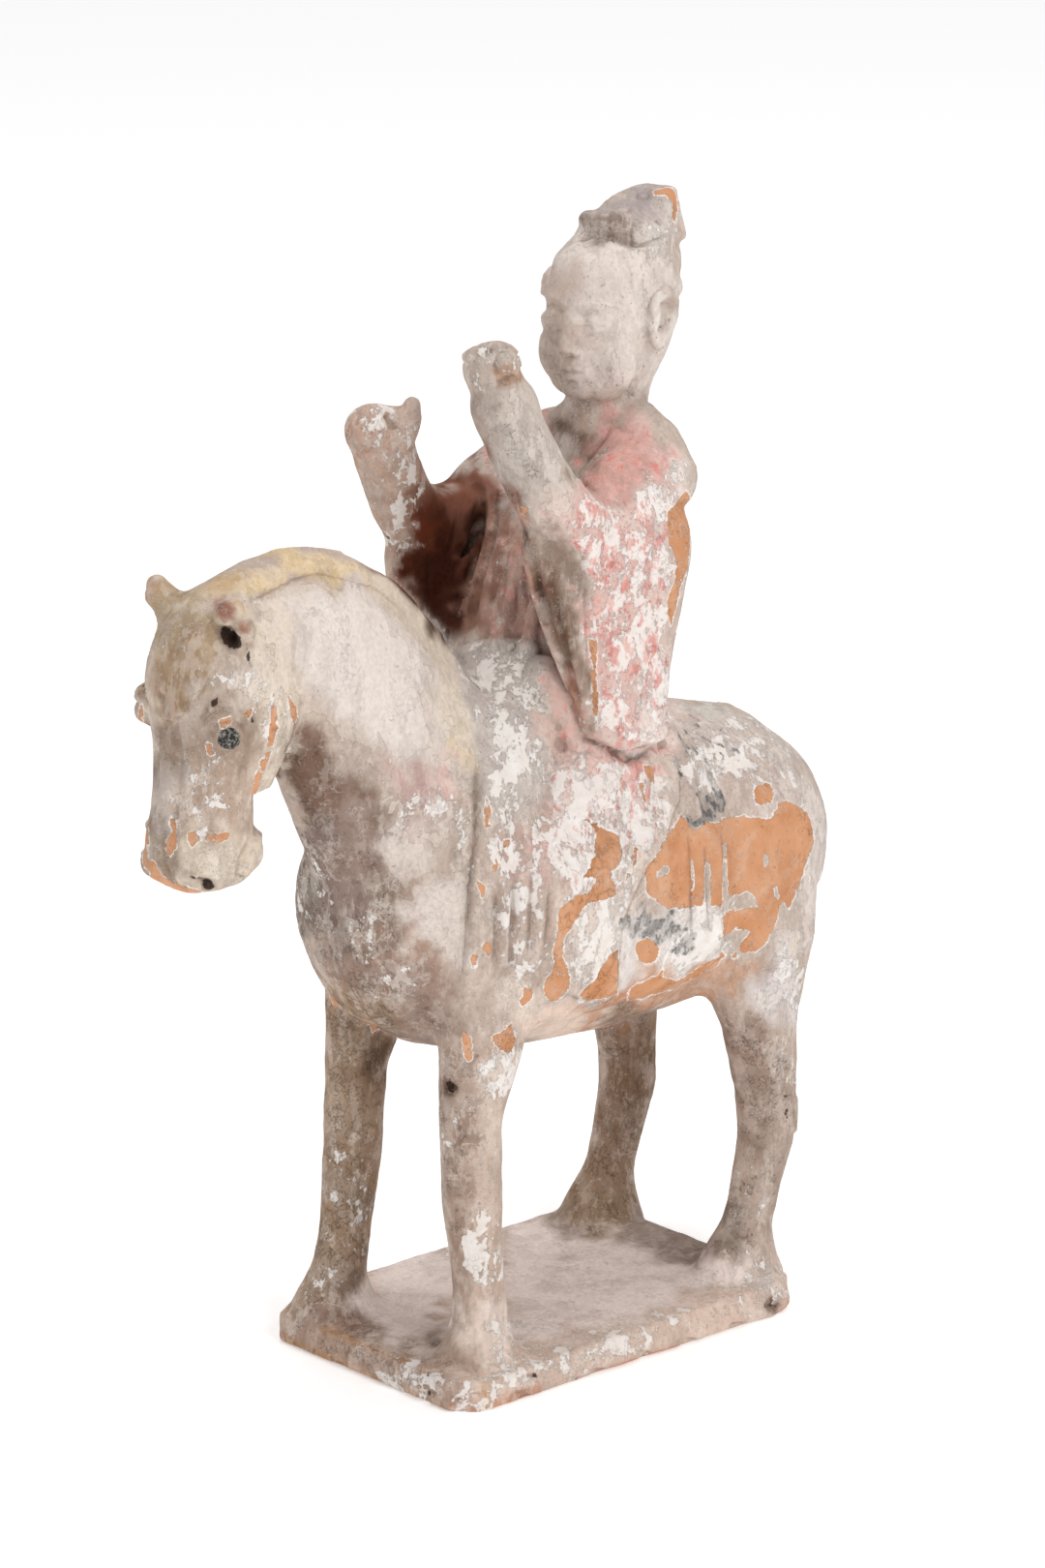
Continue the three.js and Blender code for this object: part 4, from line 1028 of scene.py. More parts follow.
# Colour of the worn surface, seen broadly, and in the places marked below light and shade painted onto it:
# six hex digits, softness in millimetres, and outline.
WASH_AND_SHADING = [
    ("DACBC0", 6, [(240, 630), (390, 595), (480, 690), (500, 800), (420, 800), (330, 720), (300, 660)]),
    ("E6DAD2", 5, [(330, 610), (400, 620), (440, 700), (420, 780), (350, 730), (310, 670)]),
    ("C6B3A6", 5, [(295, 740), (350, 740), (420, 790), (440, 850), (340, 860), (290, 800)]),
    # 866C5D is painted shade on the lower neck and throat.
    ("866C5D", 3, [(296, 752), (330, 756), (352, 790), (384, 812), (388, 846), (350, 850), (318, 866),
        (304, 810)]),
    # The next eight washes, on the horse's chest, which faces away from the key lamp, are its soiled clay
    # and painted shade.
    ("8C7A72", 5, [(300, 870), (350, 840), (400, 850), (412, 900), (400, 960), (330, 960)]),
    ("86766A", 4, [(290, 890), (320, 880), (335, 940), (330, 980), (305, 960)]),
    ("B09280", 6, [(350, 900), (420, 880), (430, 930), (460, 1000), (440, 1060), (370, 1020),
        (330, 980)]),
    ("A48B7E", 6, [(330, 985), (470, 1010), (480, 1060), (430, 1080), (340, 1030)]),
    ("7C695E", 3, [(332, 910), (356, 905), (366, 960), (372, 985), (350, 985), (334, 960)]),
    ("654B3E", 2, [(372, 1026), (410, 1038), (416, 1062), (380, 1056)]),
    ("9A8378", 4, [(345, 830), (385, 840), (395, 900), (370, 960), (340, 930)]),
    ("9E8A7C", 3, [(384, 900), (412, 905), (425, 935), (418, 975), (380, 965)]),
    ("DFCFC5", 1.5, [(392, 860), (420, 850), (446, 862), (446, 880), (432, 905), (410, 905),
        (396, 890)]),
    ("E0D1C7", 1.5, [(418, 935), (440, 915), (475, 912), (486, 930), (484, 990), (470, 1005),
        (450, 985), (432, 970), (416, 955)]),
    ("C9A79F", 3, [(400, 800), (440, 790), (450, 850), (420, 850)]),
    ("DDB9B0", 2.5, [(444, 790), (462, 780), (472, 792), (470, 822), (450, 822)]),
    ("E5CFAE", 3, [(466, 760), (478, 730), (494, 740), (490, 785), (470, 790)]),
    ("E5D5C3", 3, [(455, 680), (478, 690), (496, 740), (486, 780), (466, 740)]),
    ("E0CFBC", 4, [(170, 600), (300, 640), (312, 740), (290, 800), (262, 850), (270, 900), (200, 930),
        (145, 900), (150, 700)]),
    ("B5A08F", 3, [(236, 640), (262, 660), (258, 700), (236, 704)]),
    ("AC9685", 2.5, [(212, 712), (236, 716), (266, 740), (272, 780), (240, 792), (200, 796),
        (184, 790), (190, 745)]),
    # 927C6C is painted shadow under the forelock.
    ("927C6C", 2.5, [(158, 742), (190, 745), (190, 790), (184, 796), (162, 800), (154, 770)]),
    ("9C8470", 2, [(156, 850), (182, 850), (184, 900), (190, 925), (152, 905)]),
    ("B69E80", 2, [(160, 600), (226, 630), (232, 655), (212, 695), (190, 732), (170, 742), (160, 720),
        (158, 650)]),
    ("A3866A", 3, [(185, 640), (215, 645), (212, 690), (190, 725), (176, 700)]),
    ("9A7558", 1.8, [(162, 676), (170, 690), (176, 710), (186, 725), (178, 740), (168, 738),
        (160, 710)]),
    ("D8C9BA", 1.2, [(228, 690), (250, 694), (248, 714), (232, 712)]),
    ("D2C2B4", 1.2, [(236, 726), (250, 716), (262, 718), (258, 732), (246, 740)]),
    ("C9B6A8", 1.6, [(228, 650), (238, 660), (232, 690), (214, 720), (196, 742), (190, 738),
        (208, 700), (222, 680)]),
    ("BDA593", 3, [(185, 790), (255, 790), (262, 850), (240, 862), (180, 860)]),
    ("C2B4AC", 1.8, [(158, 800), (182, 796), (178, 830), (182, 850), (158, 862), (152, 840)]),
    ("E1C7A0", 2.5, [(228, 622), (262, 592), (300, 566), (350, 572), (395, 600), (366, 600),
        (333, 592), (302, 598), (275, 612), (250, 628)]),
    ("CDB08C", 2.5, [(200, 600), (240, 590), (262, 592), (250, 622), (230, 630)]),
    ("C8B5A7", 4, [(478, 800), (510, 800), (512, 900), (506, 1050), (476, 1050), (484, 930)]),
    # 9B867A is a painted shadow line along the saddle cloth's front edge.
    ("9B867A", 0.9, [(489, 800), (493, 800), (492, 860), (487, 905), (484, 960), (481, 950),
        (483, 905), (488, 860)]),
    ("C6B0A2", 4, [(510, 860), (575, 870), (580, 1040), (530, 1060), (506, 1030)]),
    ("D9C5B8", 4, [(560, 780), (700, 770), (700, 860), (640, 960), (636, 1028), (580, 1030),
        (570, 900)]),
    ("E2C9C2", 4, [(556, 790), (690, 790), (670, 850), (600, 870), (556, 860)]),
    ("CDAEA2", 3, [(520, 850), (590, 840), (600, 880), (560, 920), (524, 920)]),
    ("EDE4DE", 3, [(640, 940), (700, 935), (745, 935), (745, 1000), (690, 1010), (655, 1025),
        (640, 1000)]),
    ("D3C4BA", 4, [(700, 735), (800, 740), (850, 830), (855, 900), (840, 960), (800, 900), (760, 830),
        (716, 800)]),
    ("CDB9AE", 4, [(735, 790), (800, 780), (812, 830), (760, 845)]),
    ("D6D2C8", 3, [(690, 722), (740, 722), (760, 735), (692, 738)]),
    ("DDD0C8", 4, [(820, 830), (856, 830), (856, 920), (835, 990), (815, 1000), (835, 920)]),
    ("DCD2CE", 4, [(760, 1000), (822, 985), (822, 1060), (780, 1060)]),
    # F0D6C4 and F0DACB below are painted light on the belly's underside, which the lamps leave in shade.
    ("F0D6C4", 2, [(560, 1040), (700, 1022), (704, 1042), (600, 1066), (550, 1085)]),
    ("E4D3C5", 2, [(512, 1010), (560, 1020), (556, 1062), (518, 1066)]),
    ("F0DACB", 2.5, [(540, 1065), (620, 1060), (700, 1040), (735, 1040), (700, 1060), (560, 1100)]),
    ("AA9283", 5, [(735, 1040), (800, 1060), (830, 1120), (826, 1190), (780, 1290), (720, 1310),
        (765, 1200), (760, 1110)]),
    ("B9A394", 4, [(745, 1190), (800, 1190), (780, 1270), (730, 1290)]),
    ("BBA698", 4, [(790, 1060), (830, 1070), (826, 1240), (800, 1300), (790, 1200)]),
    ("A98E77", 5, [(330, 1010), (415, 1045), (412, 1130), (385, 1330), (295, 1345), (320, 1200)]),
    ("BBA18B", 3, [(330, 1070), (366, 1080), (366, 1160), (338, 1170), (330, 1110)]),
    # 6A5543 is painted shade on the far foreleg's top edge.
    ("6A5543", 2, [(385, 1055), (414, 1060), (408, 1110), (384, 1120)]),
    ("8C7463", 3, [(340, 1300), (380, 1290), (384, 1345), (340, 1350)]),
    ("B59C88", 4, [(296, 1290), (345, 1290), (350, 1350), (290, 1360)]),
    # The near foreleg: C6AD9C on the side towards the key lamp, AE9585 darker on the side that faces
    # forward, which is painted shade; C9B1A1 and B09787 below do the same lower down.
    ("C6AD9C", 3, [(480, 1060), (540, 1060), (520, 1160), (515, 1330), (495, 1340), (490, 1180)]),
    ("AE9585", 4, [(448, 1075), (485, 1080), (490, 1180), (492, 1350), (455, 1400), (462, 1200)]),
    ("8E735E", 5, [(620, 1040), (690, 1040), (680, 1130), (665, 1170), (615, 1180)]),
    ("9E8470", 5, [(612, 1170), (672, 1160), (665, 1260), (590, 1270)]),
    ("A08871", 4, [(560, 1230), (610, 1200), (660, 1260), (620, 1285), (560, 1270)]),
    # F5E6DF and, below, F8EAE3 lighten the slab's top where the horse shades it, and E8D4C7 lightens the
    # near forehoof: painted light over the clay's pale colour.
    ("F5E6DF", 5, [(440, 1290), (560, 1255), (740, 1300), (800, 1310), (530, 1405), (330, 1360)]),
    ("B59D8D", 2, [(454, 1350), (480, 1330), (522, 1335), (540, 1390), (520, 1412), (470, 1415),
        (444, 1400)]),
    ("E8D4C7", 2, [(488, 1340), (522, 1336), (540, 1390), (520, 1412), (486, 1415)]),
    ("F8EAE3", 4, [(376, 1300), (470, 1300), (446, 1350), (440, 1385), (396, 1372), (376, 1340)]),
    ("DCC8B8", 1.5, [(488, 1100), (522, 1100), (518, 1190), (490, 1190)]),
    ("C9B1A1", 1.2, [(484, 1240), (524, 1240), (526, 1345), (484, 1345)]),
    ("B09787", 1.2, [(463, 1240), (486, 1240), (488, 1345), (466, 1345)]),
    # The next two are painted shade: at the far forehoof's foot, and on the slab's top between the hind
    # legs.
    ("8A6F60", 2, [(326, 1350), (372, 1348), (390, 1366), (380, 1380), (340, 1370)]),
    ("A5938A", 3, [(640, 1262), (700, 1272), (745, 1296), (720, 1312), (650, 1292)]),
    ("A8958A", 3, [(560, 1235), (600, 1250), (620, 1280), (570, 1280)]),
    ("9A897D", 3, [(735, 1235), (768, 1230), (765, 1290), (725, 1296)]),
    # B99D8C, the slab's front side, is painted darker than DEC5B5, its long side, which faces the key lamp:
    # painted shade.
    ("B99D8C", 3, [(290, 1352), (470, 1412), (480, 1470), (288, 1400)]),
    ("DEC5B5", 3, [(470, 1412), (822, 1310), (822, 1360), (480, 1470)]),
    ("E6D8CF", 4, [(560, 250), (680, 240), (705, 300), (690, 400), (600, 410), (556, 340)]),
    # CDB7AA is painted shade on the left side of the face.
    ("CDB7AA", 3, [(558, 270), (590, 275), (600, 330), (590, 400), (560, 340)]),
    ("D3C2B7", 3, [(575, 400), (640, 410), (672, 380), (672, 430), (640, 440), (580, 440)]),
    # 7C6859 and 6F5A4B are painted shadow on the rider's neck under the chin.
    ("7C6859", 2, [(566, 425), (600, 436), (626, 446), (596, 493), (584, 484), (574, 455)]),
    ("6F5A4B", 1.5, [(568, 430), (590, 445), (592, 480), (584, 484), (574, 462)]),
    ("F0D2C8", 1.5, [(626, 432), (650, 422), (672, 428), (678, 442), (640, 443)]),
    ("EFE4DA", 2, [(668, 300), (694, 304), (694, 350), (672, 356)]),
    ("BFA797", 1.5, [(600, 432), (640, 436), (630, 446), (606, 450)]),
    ("9F8C80", 2, [(594, 224), (655, 227), (652, 252), (594, 248)]),
    ("BBADAA", 3, [(605, 222), (650, 192), (700, 196), (660, 222)]),
    ("D8CDC4", 2.5, [(655, 232), (672, 215), (690, 225), (692, 256), (655, 250)]),
    ("CEC0B5", 2, [(490, 400), (552, 400), (585, 470), (606, 500), (606, 610), (560, 558), (541, 540),
        (520, 515), (503, 480)]),
    # A8978C is painted shade along the forearm's left edge.
    ("A8978C", 2, [(486, 400), (508, 405), (516, 470), (530, 520), (514, 500), (500, 470)]),
    ("A08A7C", 2, [(560, 530), (580, 540), (602, 590), (606, 612), (586, 606), (560, 562)]),
    ("C9BDB4", 2, [(500, 440), (540, 430), (552, 500), (540, 530), (515, 500)]),
    ("BFAEA2", 3, [(476, 352), (545, 355), (545, 400), (490, 405)]),
    ("D2B3A2", 4, [(350, 408), (434, 408), (440, 490), (400, 510), (356, 460)]),
    ("C8A794", 3, [(385, 500), (400, 480), (438, 470), (450, 510), (430, 540), (418, 620), (398, 600)]),
    # 8A6453 to 6B3420, but for the pale edge DDCDBB, are painted shade over the red of the far sleeve: the
    # recess between the far arm and the chest, darkest at its bottom.
    ("8A6453", 2, [(418, 505), (440, 490), (458, 510), (440, 530), (424, 545)]),
    ("7A4A39", 2, [(420, 520), (455, 505), (500, 470), (545, 545), (575, 660), (468, 660), (420, 625)]),
    ("8F604F", 2.5, [(470, 512), (490, 500), (497, 475), (500, 505), (480, 560), (468, 555)]),
    ("5E2A18", 2, [(402, 575), (420, 545), (430, 540), (430, 640), (412, 620), (402, 600)]),
    ("431E12", 2.5, [(424, 535), (458, 520), (466, 560), (452, 650), (428, 640), (416, 600),
        (418, 570)]),
    ("DDCDBB", 1.0, [(380, 590), (400, 596), (430, 627), (463, 661), (482, 686), (494, 722),
        (480, 734), (462, 704), (440, 674), (412, 644), (385, 612)]),
    ("3E1609", 1.6, [(440, 600), (470, 600), (488, 650), (474, 668), (446, 652)]),
    ("6B3420", 1.6, [(416, 522), (440, 515), (446, 560), (422, 566)]),
    # 47241A is a painted shadow line under the far arm, and 6B4535 below is painted shade in the crease of
    # a fold.
    ("47241A", 1.4, [(499, 500), (504, 506), (494, 560), (480, 612), (468, 655), (452, 652),
        (462, 600), (480, 545)]),
    ("A57E6D", 1.5, [(497, 478), (507, 490), (512, 540), (500, 600), (482, 656), (474, 654),
        (488, 600), (500, 545)]),
    ("6B4535", 1.2, [(512, 508), (517, 512), (508, 560), (494, 604), (484, 640), (481, 630),
        (494, 590), (506, 545)]),
    ("C69E8C", 2, [(514, 520), (541, 545), (552, 600), (562, 662), (488, 658), (505, 600), (514, 560)]),
    ("BE988A", 2, [(494, 610), (545, 600), (562, 664), (490, 664)]),
    # 4A3428 and 6A5141 are painted shade in the creases of the near sleeve's folds, and 9C8677 and 8B705F
    # paint the shade on the sleeve's front, which turns away from the lamps.
    ("4A3428", 1.0, [(539, 545), (545, 548), (560, 600), (577, 655), (572, 664), (566, 655),
        (553, 610)]),
    ("9C8677", 1.5, [(545, 548), (560, 552), (606, 612), (612, 748), (604, 750), (582, 680),
        (562, 605)]),
    ("8B705F", 2, [(556, 580), (590, 620), (602, 670), (600, 700), (586, 680), (572, 640)]),
    ("6A5141", 1.2, [(566, 600), (572, 598), (588, 650), (594, 690), (590, 692), (580, 660)]),
    ("E8CBC0", 2, [(556, 668), (572, 668), (602, 735), (632, 772), (600, 790), (566, 740)]),
    ("A3705C", 1.2, [(584, 690), (592, 690), (606, 750), (600, 756), (590, 730)]),
    ("CCA095", 3, [(600, 470), (640, 440), (690, 460), (690, 520), (600, 520)]),
    ("E3B4AA", 2, [(622, 446), (640, 428), (668, 430), (690, 452), (690, 480), (660, 476), (630, 470)]),
    ("EFE0D8", 2, [(690, 455), (712, 490), (716, 545), (696, 520), (686, 500)]),
    ("DCC0B6", 3, [(560, 515), (604, 500), (612, 540), (600, 560), (575, 545)]),
    ("E2C8BE", 4, [(604, 520), (700, 500), (700, 750), (614, 760)]),
    ("E6CCC0", 2, [(556, 690), (580, 700), (600, 750), (612, 770), (580, 770), (556, 740)]),
    ("F4E4DC", 3, [(640, 730), (692, 720), (692, 772), (640, 770)]),
    ("EBCDC4", 4, [(560, 690), (600, 750), (660, 785), (690, 770), (695, 800), (590, 800), (560, 770)]),
    ("CABEB6", 1.2, [(468, 674), (490, 665), (515, 661), (545, 663), (568, 690), (570, 760),
        (560, 830), (500, 840), (490, 760)]),
    ("DEC8BC", 3, [(556, 690), (580, 710), (600, 760), (575, 790), (552, 760)]),
    ("5F4538", 0.5, [(600, 760), (622, 767), (640, 776), (652, 784), (668, 777), (668, 781),
        (651, 789), (636, 780), (600, 764)]),
    # 24150E, here and again below, is near-black painted shade inside the broken ear's hollow and inside
    # the nostril.
    ("24150E", 0.7, [(229, 646), (242, 650), (248, 664), (240, 669), (229, 664)]),
    ("9A6A5A", 1.0, [(220, 622), (232, 616), (244, 628), (241, 641), (226, 640)]),
    ("A87A66", 0.8, [(246, 640), (255, 645), (258, 654), (248, 654)]),
    ("24150E", 0.6, [(207, 909), (216, 908), (221, 915), (216, 920), (209, 918)]),
    ("C9957A", 1.2, [(600, 1438), (640, 1420), (690, 1400), (740, 1388), (744, 1380), (690, 1392),
        (600, 1422)]),
    ("C9957A", 1.2, [(462, 1450), (486, 1462), (500, 1458), (560, 1440), (560, 1428), (500, 1448),
        (474, 1440)]),
    ("C9957A", 1.2, [(786, 1372), (803, 1368), (820, 1354), (822, 1318), (816, 1312), (814, 1348),
        (798, 1360)]),
    ("C79A74", 1.2, [(496, 1428), (508, 1422), (512, 1440), (506, 1456), (496, 1456)]),
    ("B98F6C", 1.2, [(290, 1388), (400, 1438), (460, 1462), (460, 1454), (400, 1428), (294, 1378)]),
    ("C49A78", 1.2, [(330, 1376), (400, 1402), (455, 1424), (455, 1418), (400, 1396), (332, 1368)]),
    ("6B4C36", 1.2, [(790, 1344), (798, 1338), (806, 1346), (802, 1358), (792, 1356)]),
    ("5A4030", 1.0, [(458, 1118), (466, 1114), (474, 1122), (470, 1134), (460, 1132)]),
    ("C58A66", 2, [(596, 1040), (640, 1024), (690, 1016), (706, 1026), (690, 1036), (640, 1042),
        (604, 1054)]),
    ("CBA084", 2.5, [(664, 996), (700, 1010), (760, 990), (790, 980), (780, 1005), (740, 1024),
        (690, 1030), (664, 1020)]),
    ("D2C8C8", 2, [(790, 992), (815, 980), (818, 1000), (815, 1042), (803, 1052), (786, 1010)]),
    ("E0C88E", 1.5, [(823, 990), (829, 985), (829, 1020), (824, 1035)]),
    ("B6957F", 1.0, [(508, 384), (526, 376), (540, 380), (541, 392), (532, 400), (516, 400)]),
    ("B98A6E", 1.5, [(352, 440), (362, 470), (376, 488), (372, 462), (358, 432)]),
    ("5C4636", 0.8, [(500, 362), (506, 358), (512, 362), (506, 367)]),
    ("C79878", 2, [(150, 604), (160, 596), (163, 612), (160, 632), (154, 625)]),
]


def inside(outline, spots):
    """How far inside an outline each point is seen, in millimetres, minus outside."""
    corners = np.array(outline, float)
    gap = np.full(len(spots), 1e9)
    within = np.zeros(len(spots), bool)
    for a, b in zip(corners, np.roll(corners, -1, axis=0)):
        way, rel = b - a, spots - a
        share = np.clip(rel @ way / (way @ way), 0, 1)
        gap = np.minimum(gap, np.hypot(*(rel - share[:, None] * way).T))
        if a[1] != b[1]:
            crossing = (a[1] > spots[:, 1]) != (b[1] > spots[:, 1])
            within ^= crossing & (spots[:, 0] < a[0] + (spots[:, 1] - a[1]) / way[1] * way[0])
    return np.where(within, gap, -gap) / VIEW_SCALE


points, out, spots, seen, far_spots, far_seen = take_look()
hidden = ~seen & (far_seen | (points[:, 0] < 0))
drift = np.stack([np.sin(points[:, 2] * 90 + points[:, 1] * 40), np.sin(points[:, 1] * 70 + 2)]).T * 7
place = np.where(hidden[:, None], far_spots + drift, spots)
straight = place.copy()
chance = np.random.default_rng(11)
for wave, swing in ((19, 4.5), (8, 2.8), (3.6, 1.8)):
    for _ in range(5):
        ways = chance.normal(size=(2, 3)) * 2 * math.pi / (wave * MM)
        place += swing * np.sin(points @ ways.T + chance.uniform(0, 6, 2))


def cover(outlines, soft, start=0.0, place=place):
    """How much of something lies at each point: the amount given with the outline that it is inside."""
    level = np.full(len(place), start)
    for amount, outline in outlines:
        low, high = np.min(outline, axis=0) - 4 * soft, np.max(outline, axis=0) + 4 * soft
        which = np.nonzero(((place > low) & (place < high)).all(1))[0]
        reached = smooth_step(0.5 + inside(outline, place[which]) / (2 * soft))
        level[which] += (amount - level[which]) * reached
    return level


wash_and_shading = np.tile(np.array(colour("C6B3A6")[:3]), (len(points), 1))
for code, soft, outline in WASH_AND_SHADING:
    reached = smooth_step(0.5 + inside(outline, place if soft > 1.3 else straight) / (0.8 * soft))[:, None]
    wash_and_shading = wash_and_shading * (1 - reached) + np.array(colour(code)[:3]) * reached
wash_and_shading = spread(clay, wash_and_shading, 2)
hollow = ((spread(clay, points, 6) - points) * out).sum(1) / MM


def store(name, values):
    """A value for each point of the clay, that the paint reads."""
    clay.data.attributes.new(name, "FLOAT", "POINT").data.foreach_set("value", values.astype(np.float32))


store("bare", cover(BARE, 1.5, -0.1, straight) * cover(STRIPS, 0.7, 1.0, straight))
store("soot", cover(SOOT, 2.5))
store("rose", cover(ROSE, 3.0))
store("chalk", cover(CHALK, 3.0, 0.2))
store("dirt_and_shade", cover(DIRT_AND_SHADE, 5.0, 0.3))
store("pale", cover(PALE, 2.5, 0.14))
store("hole_soil_and_shade", cover(HOLES_SOIL_AND_SHADE, 0.7, 0.0, straight))
store("pupil", cover(PUPIL, 0.5, 0.0, straight))
store("hollow", np.clip(0.5 + hollow * 1.3, 0, 1))
paint_layer = clay.data.attributes.new("wash_and_shading", "FLOAT_COLOR", "POINT")
paint_layer.data.foreach_set("color", np.c_[wash_and_shading, np.ones(len(wash_and_shading))].astype(np.float32).ravel())


def add(tree, kind, inputs=None, **settings):
    """A shader node with its sockets filled or linked."""
    made = tree.nodes.new(kind)
    for name, value in settings.items():
        setattr(made, name, value)
    for name, value in (inputs or {}).items():
        if isinstance(value, bpy.types.NodeSocket):
            tree.links.new(value, made.inputs[name])
        else:
            made.inputs[name].default_value = value
    return made


def sums(tree, operation, a, b=0.0):
    """One sum of two values."""
    return add(tree, "ShaderNodeMath", {0: a, 1: b}, operation=operation).outputs[0]


def between(tree, value, low, high):
    """0 below `low` and 1 above `high`, smooth between."""
    made = add(
        tree, "ShaderNodeMapRange", {"Value": value, "From Min": low, "From Max": high},
        interpolation_type="SMOOTHSTEP",
    )
    return made.outputs[0]


def mixed(tree, share, a, b):
    """Colour `a` with a share of colour `b` over it."""
    made = add(tree, "ShaderNodeMix", data_type="RGBA")
    for socket, value in ((made.inputs[0], share), (made.inputs[6], a), (made.inputs[7], b)):
        if isinstance(value, bpy.types.NodeSocket):
            tree.links.new(value, socket)
        else:
            socket.default_value = value
    return made.outputs[2]


def flaking_group():
    """Where a layer of paint has let go: ragged to a fine scale, with a thin lifted rim."""
    tree = bpy.data.node_groups.new("flaking_edge", "ShaderNodeTree")
    for name, kind, value in (
        ("Where", "NodeSocketVector", None),
        ("Amount", "NodeSocketFloat", 0.5),
        ("Scale", "NodeSocketFloat", 200.0),
        ("Ragged", "NodeSocketFloat", 1.0),
        ("Edge", "NodeSocketFloat", 0.02),
        ("Lip", "NodeSocketFloat", 0.03),
    ):
        socket = tree.interface.new_socket(name, in_out="INPUT", socket_type=kind)
        if value is not None:
            socket.default_value = value
    for name in ("Mask", "Rim"):
        tree.interface.new_socket(name, in_out="OUTPUT", socket_type="NodeSocketFloat")
    given = tree.nodes.new("NodeGroupInput").outputs
    grain = add(
        tree, "ShaderNodeTexNoise",
        {"Vector": given["Where"], "Scale": given["Scale"], "Detail": 8.0, "Roughness": 0.7},
    ).outputs[0]
    swing = sums(tree, "MULTIPLY", sums(tree, "SUBTRACT", grain, 0.5), given["Ragged"])
    level = sums(tree, "SUBTRACT", sums(tree, "ADD", given["Amount"], swing), 0.5)
    low = sums(tree, "MULTIPLY", given["Edge"], -1.0)
    mask = between(tree, level, low, given["Edge"])
    off = sums(tree, "ABSOLUTE", sums(tree, "ADD", level, given["Lip"]))
    rim = sums(tree, "SUBTRACT", 1.0, between(tree, off, 0.0, sums(tree, "MULTIPLY", given["Lip"], 1.4)))
    result = tree.nodes.new("NodeGroupOutput")
    tree.links.new(mask, result.inputs["Mask"])
    tree.links.new(rim, result.inputs["Rim"])
    return tree


# The finish: matt fired clay, chalky slip over it in a thin layer that ends in broken edges, powdery
# pigments on the slip, and soil and painted shade in the hollows and pits.
flaking = flaking_group()
skin = bpy.data.materials.new("painted_terracotta")
skin.use_nodes = True
tree = skin.node_tree
surface = tree.nodes["Principled BSDF"]
where = add(tree, "ShaderNodeTexCoord").outputs["Object"]


def level_of(name):
    """A value stored on the clay."""
    return add(tree, "ShaderNodeAttribute", attribute_name=name).outputs["Fac"]


def flakes(amount, scale, ragged, edge=0.02, at=None, lip=0.03):
    """Where a layer is left, and its broken rim."""
    made = add(tree, "ShaderNodeGroup", node_tree=flaking)
    for name, value in (
        ("Where", at or where), ("Amount", amount), ("Scale", scale),
        ("Ragged", ragged), ("Edge", edge), ("Lip", lip),
    ):
        if isinstance(value, bpy.types.NodeSocket):
            tree.links.new(value, made.inputs[name])
        else:
            made.inputs[name].default_value = value
    return made.outputs["Mask"], made.outputs["Rim"]


def noise(scale, detail=4.0, rough=0.55, at=None):
    """Soft random spots, so many to the metre."""
    return add(
        tree, "ShaderNodeTexNoise",
        {"Vector": at or where, "Scale": scale, "Detail": detail, "Roughness": rough},
    ).outputs[0]


def times(a, b):
    """The product of two values."""
    return sums(tree, "MULTIPLY", a, b)


def laid(where_it_is, amount, over):
    """The paint so far, with an amount of one more colour laid over it."""
    return mixed(tree, times(where_it_is, amount), tone, over)


upright = add(tree, "ShaderNodeMapping", {"Vector": where, "Scale": (1, 1, 0.42)}).outputs[0]
leaning = add(
    tree, "ShaderNodeMapping", {"Vector": where, "Scale": (1, 1, 0.72), "Rotation": (0.3, 0.2, 0)},
).outputs[0]
bare, soot, rose = level_of("bare"), level_of("soot"), level_of("rose")
chalk, dirt_and_shade, hollow_level = level_of("chalk"), level_of("dirt_and_shade"), level_of("hollow")
wash_and_shading_colour = add(tree, "ShaderNodeAttribute", attribute_name="wash_and_shading").outputs["Color"]

# Little slip shows in deep places, where soil lies thick.
loose = between(tree, chalk, 0.08, 0.3)

# The dirty slip: thin veils of soil over it, darker clouds of soil that on the figure's shaded sides are
# painted shade too, worn lighter in small scuffs, and finely grained.
dark_wash = mixed(tree, 0.3, wash_and_shading_colour, colour("2E1C12"))
light_wash = mixed(tree, 0.5, wash_and_shading_colour, colour("F3E8DE"))
veil, _ = flakes(0.47, 70.0, 1.4, 0.05, upright)
tone = wash_and_shading_colour
tone = laid(veil, 0.24, dark_wash)
film, _ = flakes(0.45, 170.0, 1.5, 0.03, upright)
tone = laid(film, 0.36, dark_wash)
# Dark clouds where the dirt level is high: soil, and on the figure's shaded sides painted shade.
cloud, cloud_rim = flakes(dirt_and_shade, 130.0, 1.5, 0.04, lip=0.03)
tone = laid(cloud, 0.45, dark_wash)
slip, _ = flakes(level_of("pale"), 110.0, 1.2, 0.025, upright)
tone = laid(times(slip, loose), 0.7, mixed(tree, 0.4, colour("EDE1D7"), wash_and_shading_colour))
smudge, _ = flakes(0.45, 100.0, 1.6, 0.05)
tone = laid(times(smudge, loose), 0.25, light_wash)
scuff, _ = flakes(0.45, 210.0, 1.5, 0.03, upright)
tone = laid(times(scuff, loose), 0.58, light_wash)
streak, _ = flakes(0.4, 120.0, 1.5, 0.03, upright)
tone = laid(streak, 0.45, dark_wash)
crackle = times(times(cloud_rim, loose), between(tree, noise(75.0, 3.0), 0.46, 0.54))
tone = laid(crackle, 0.6, colour("F0E4DA"))
grain = between(tree, noise(700.0, 3.0, 0.6), 0.35, 0.65)
tone = laid(grain, 0.12, colour("5F4A3C"))

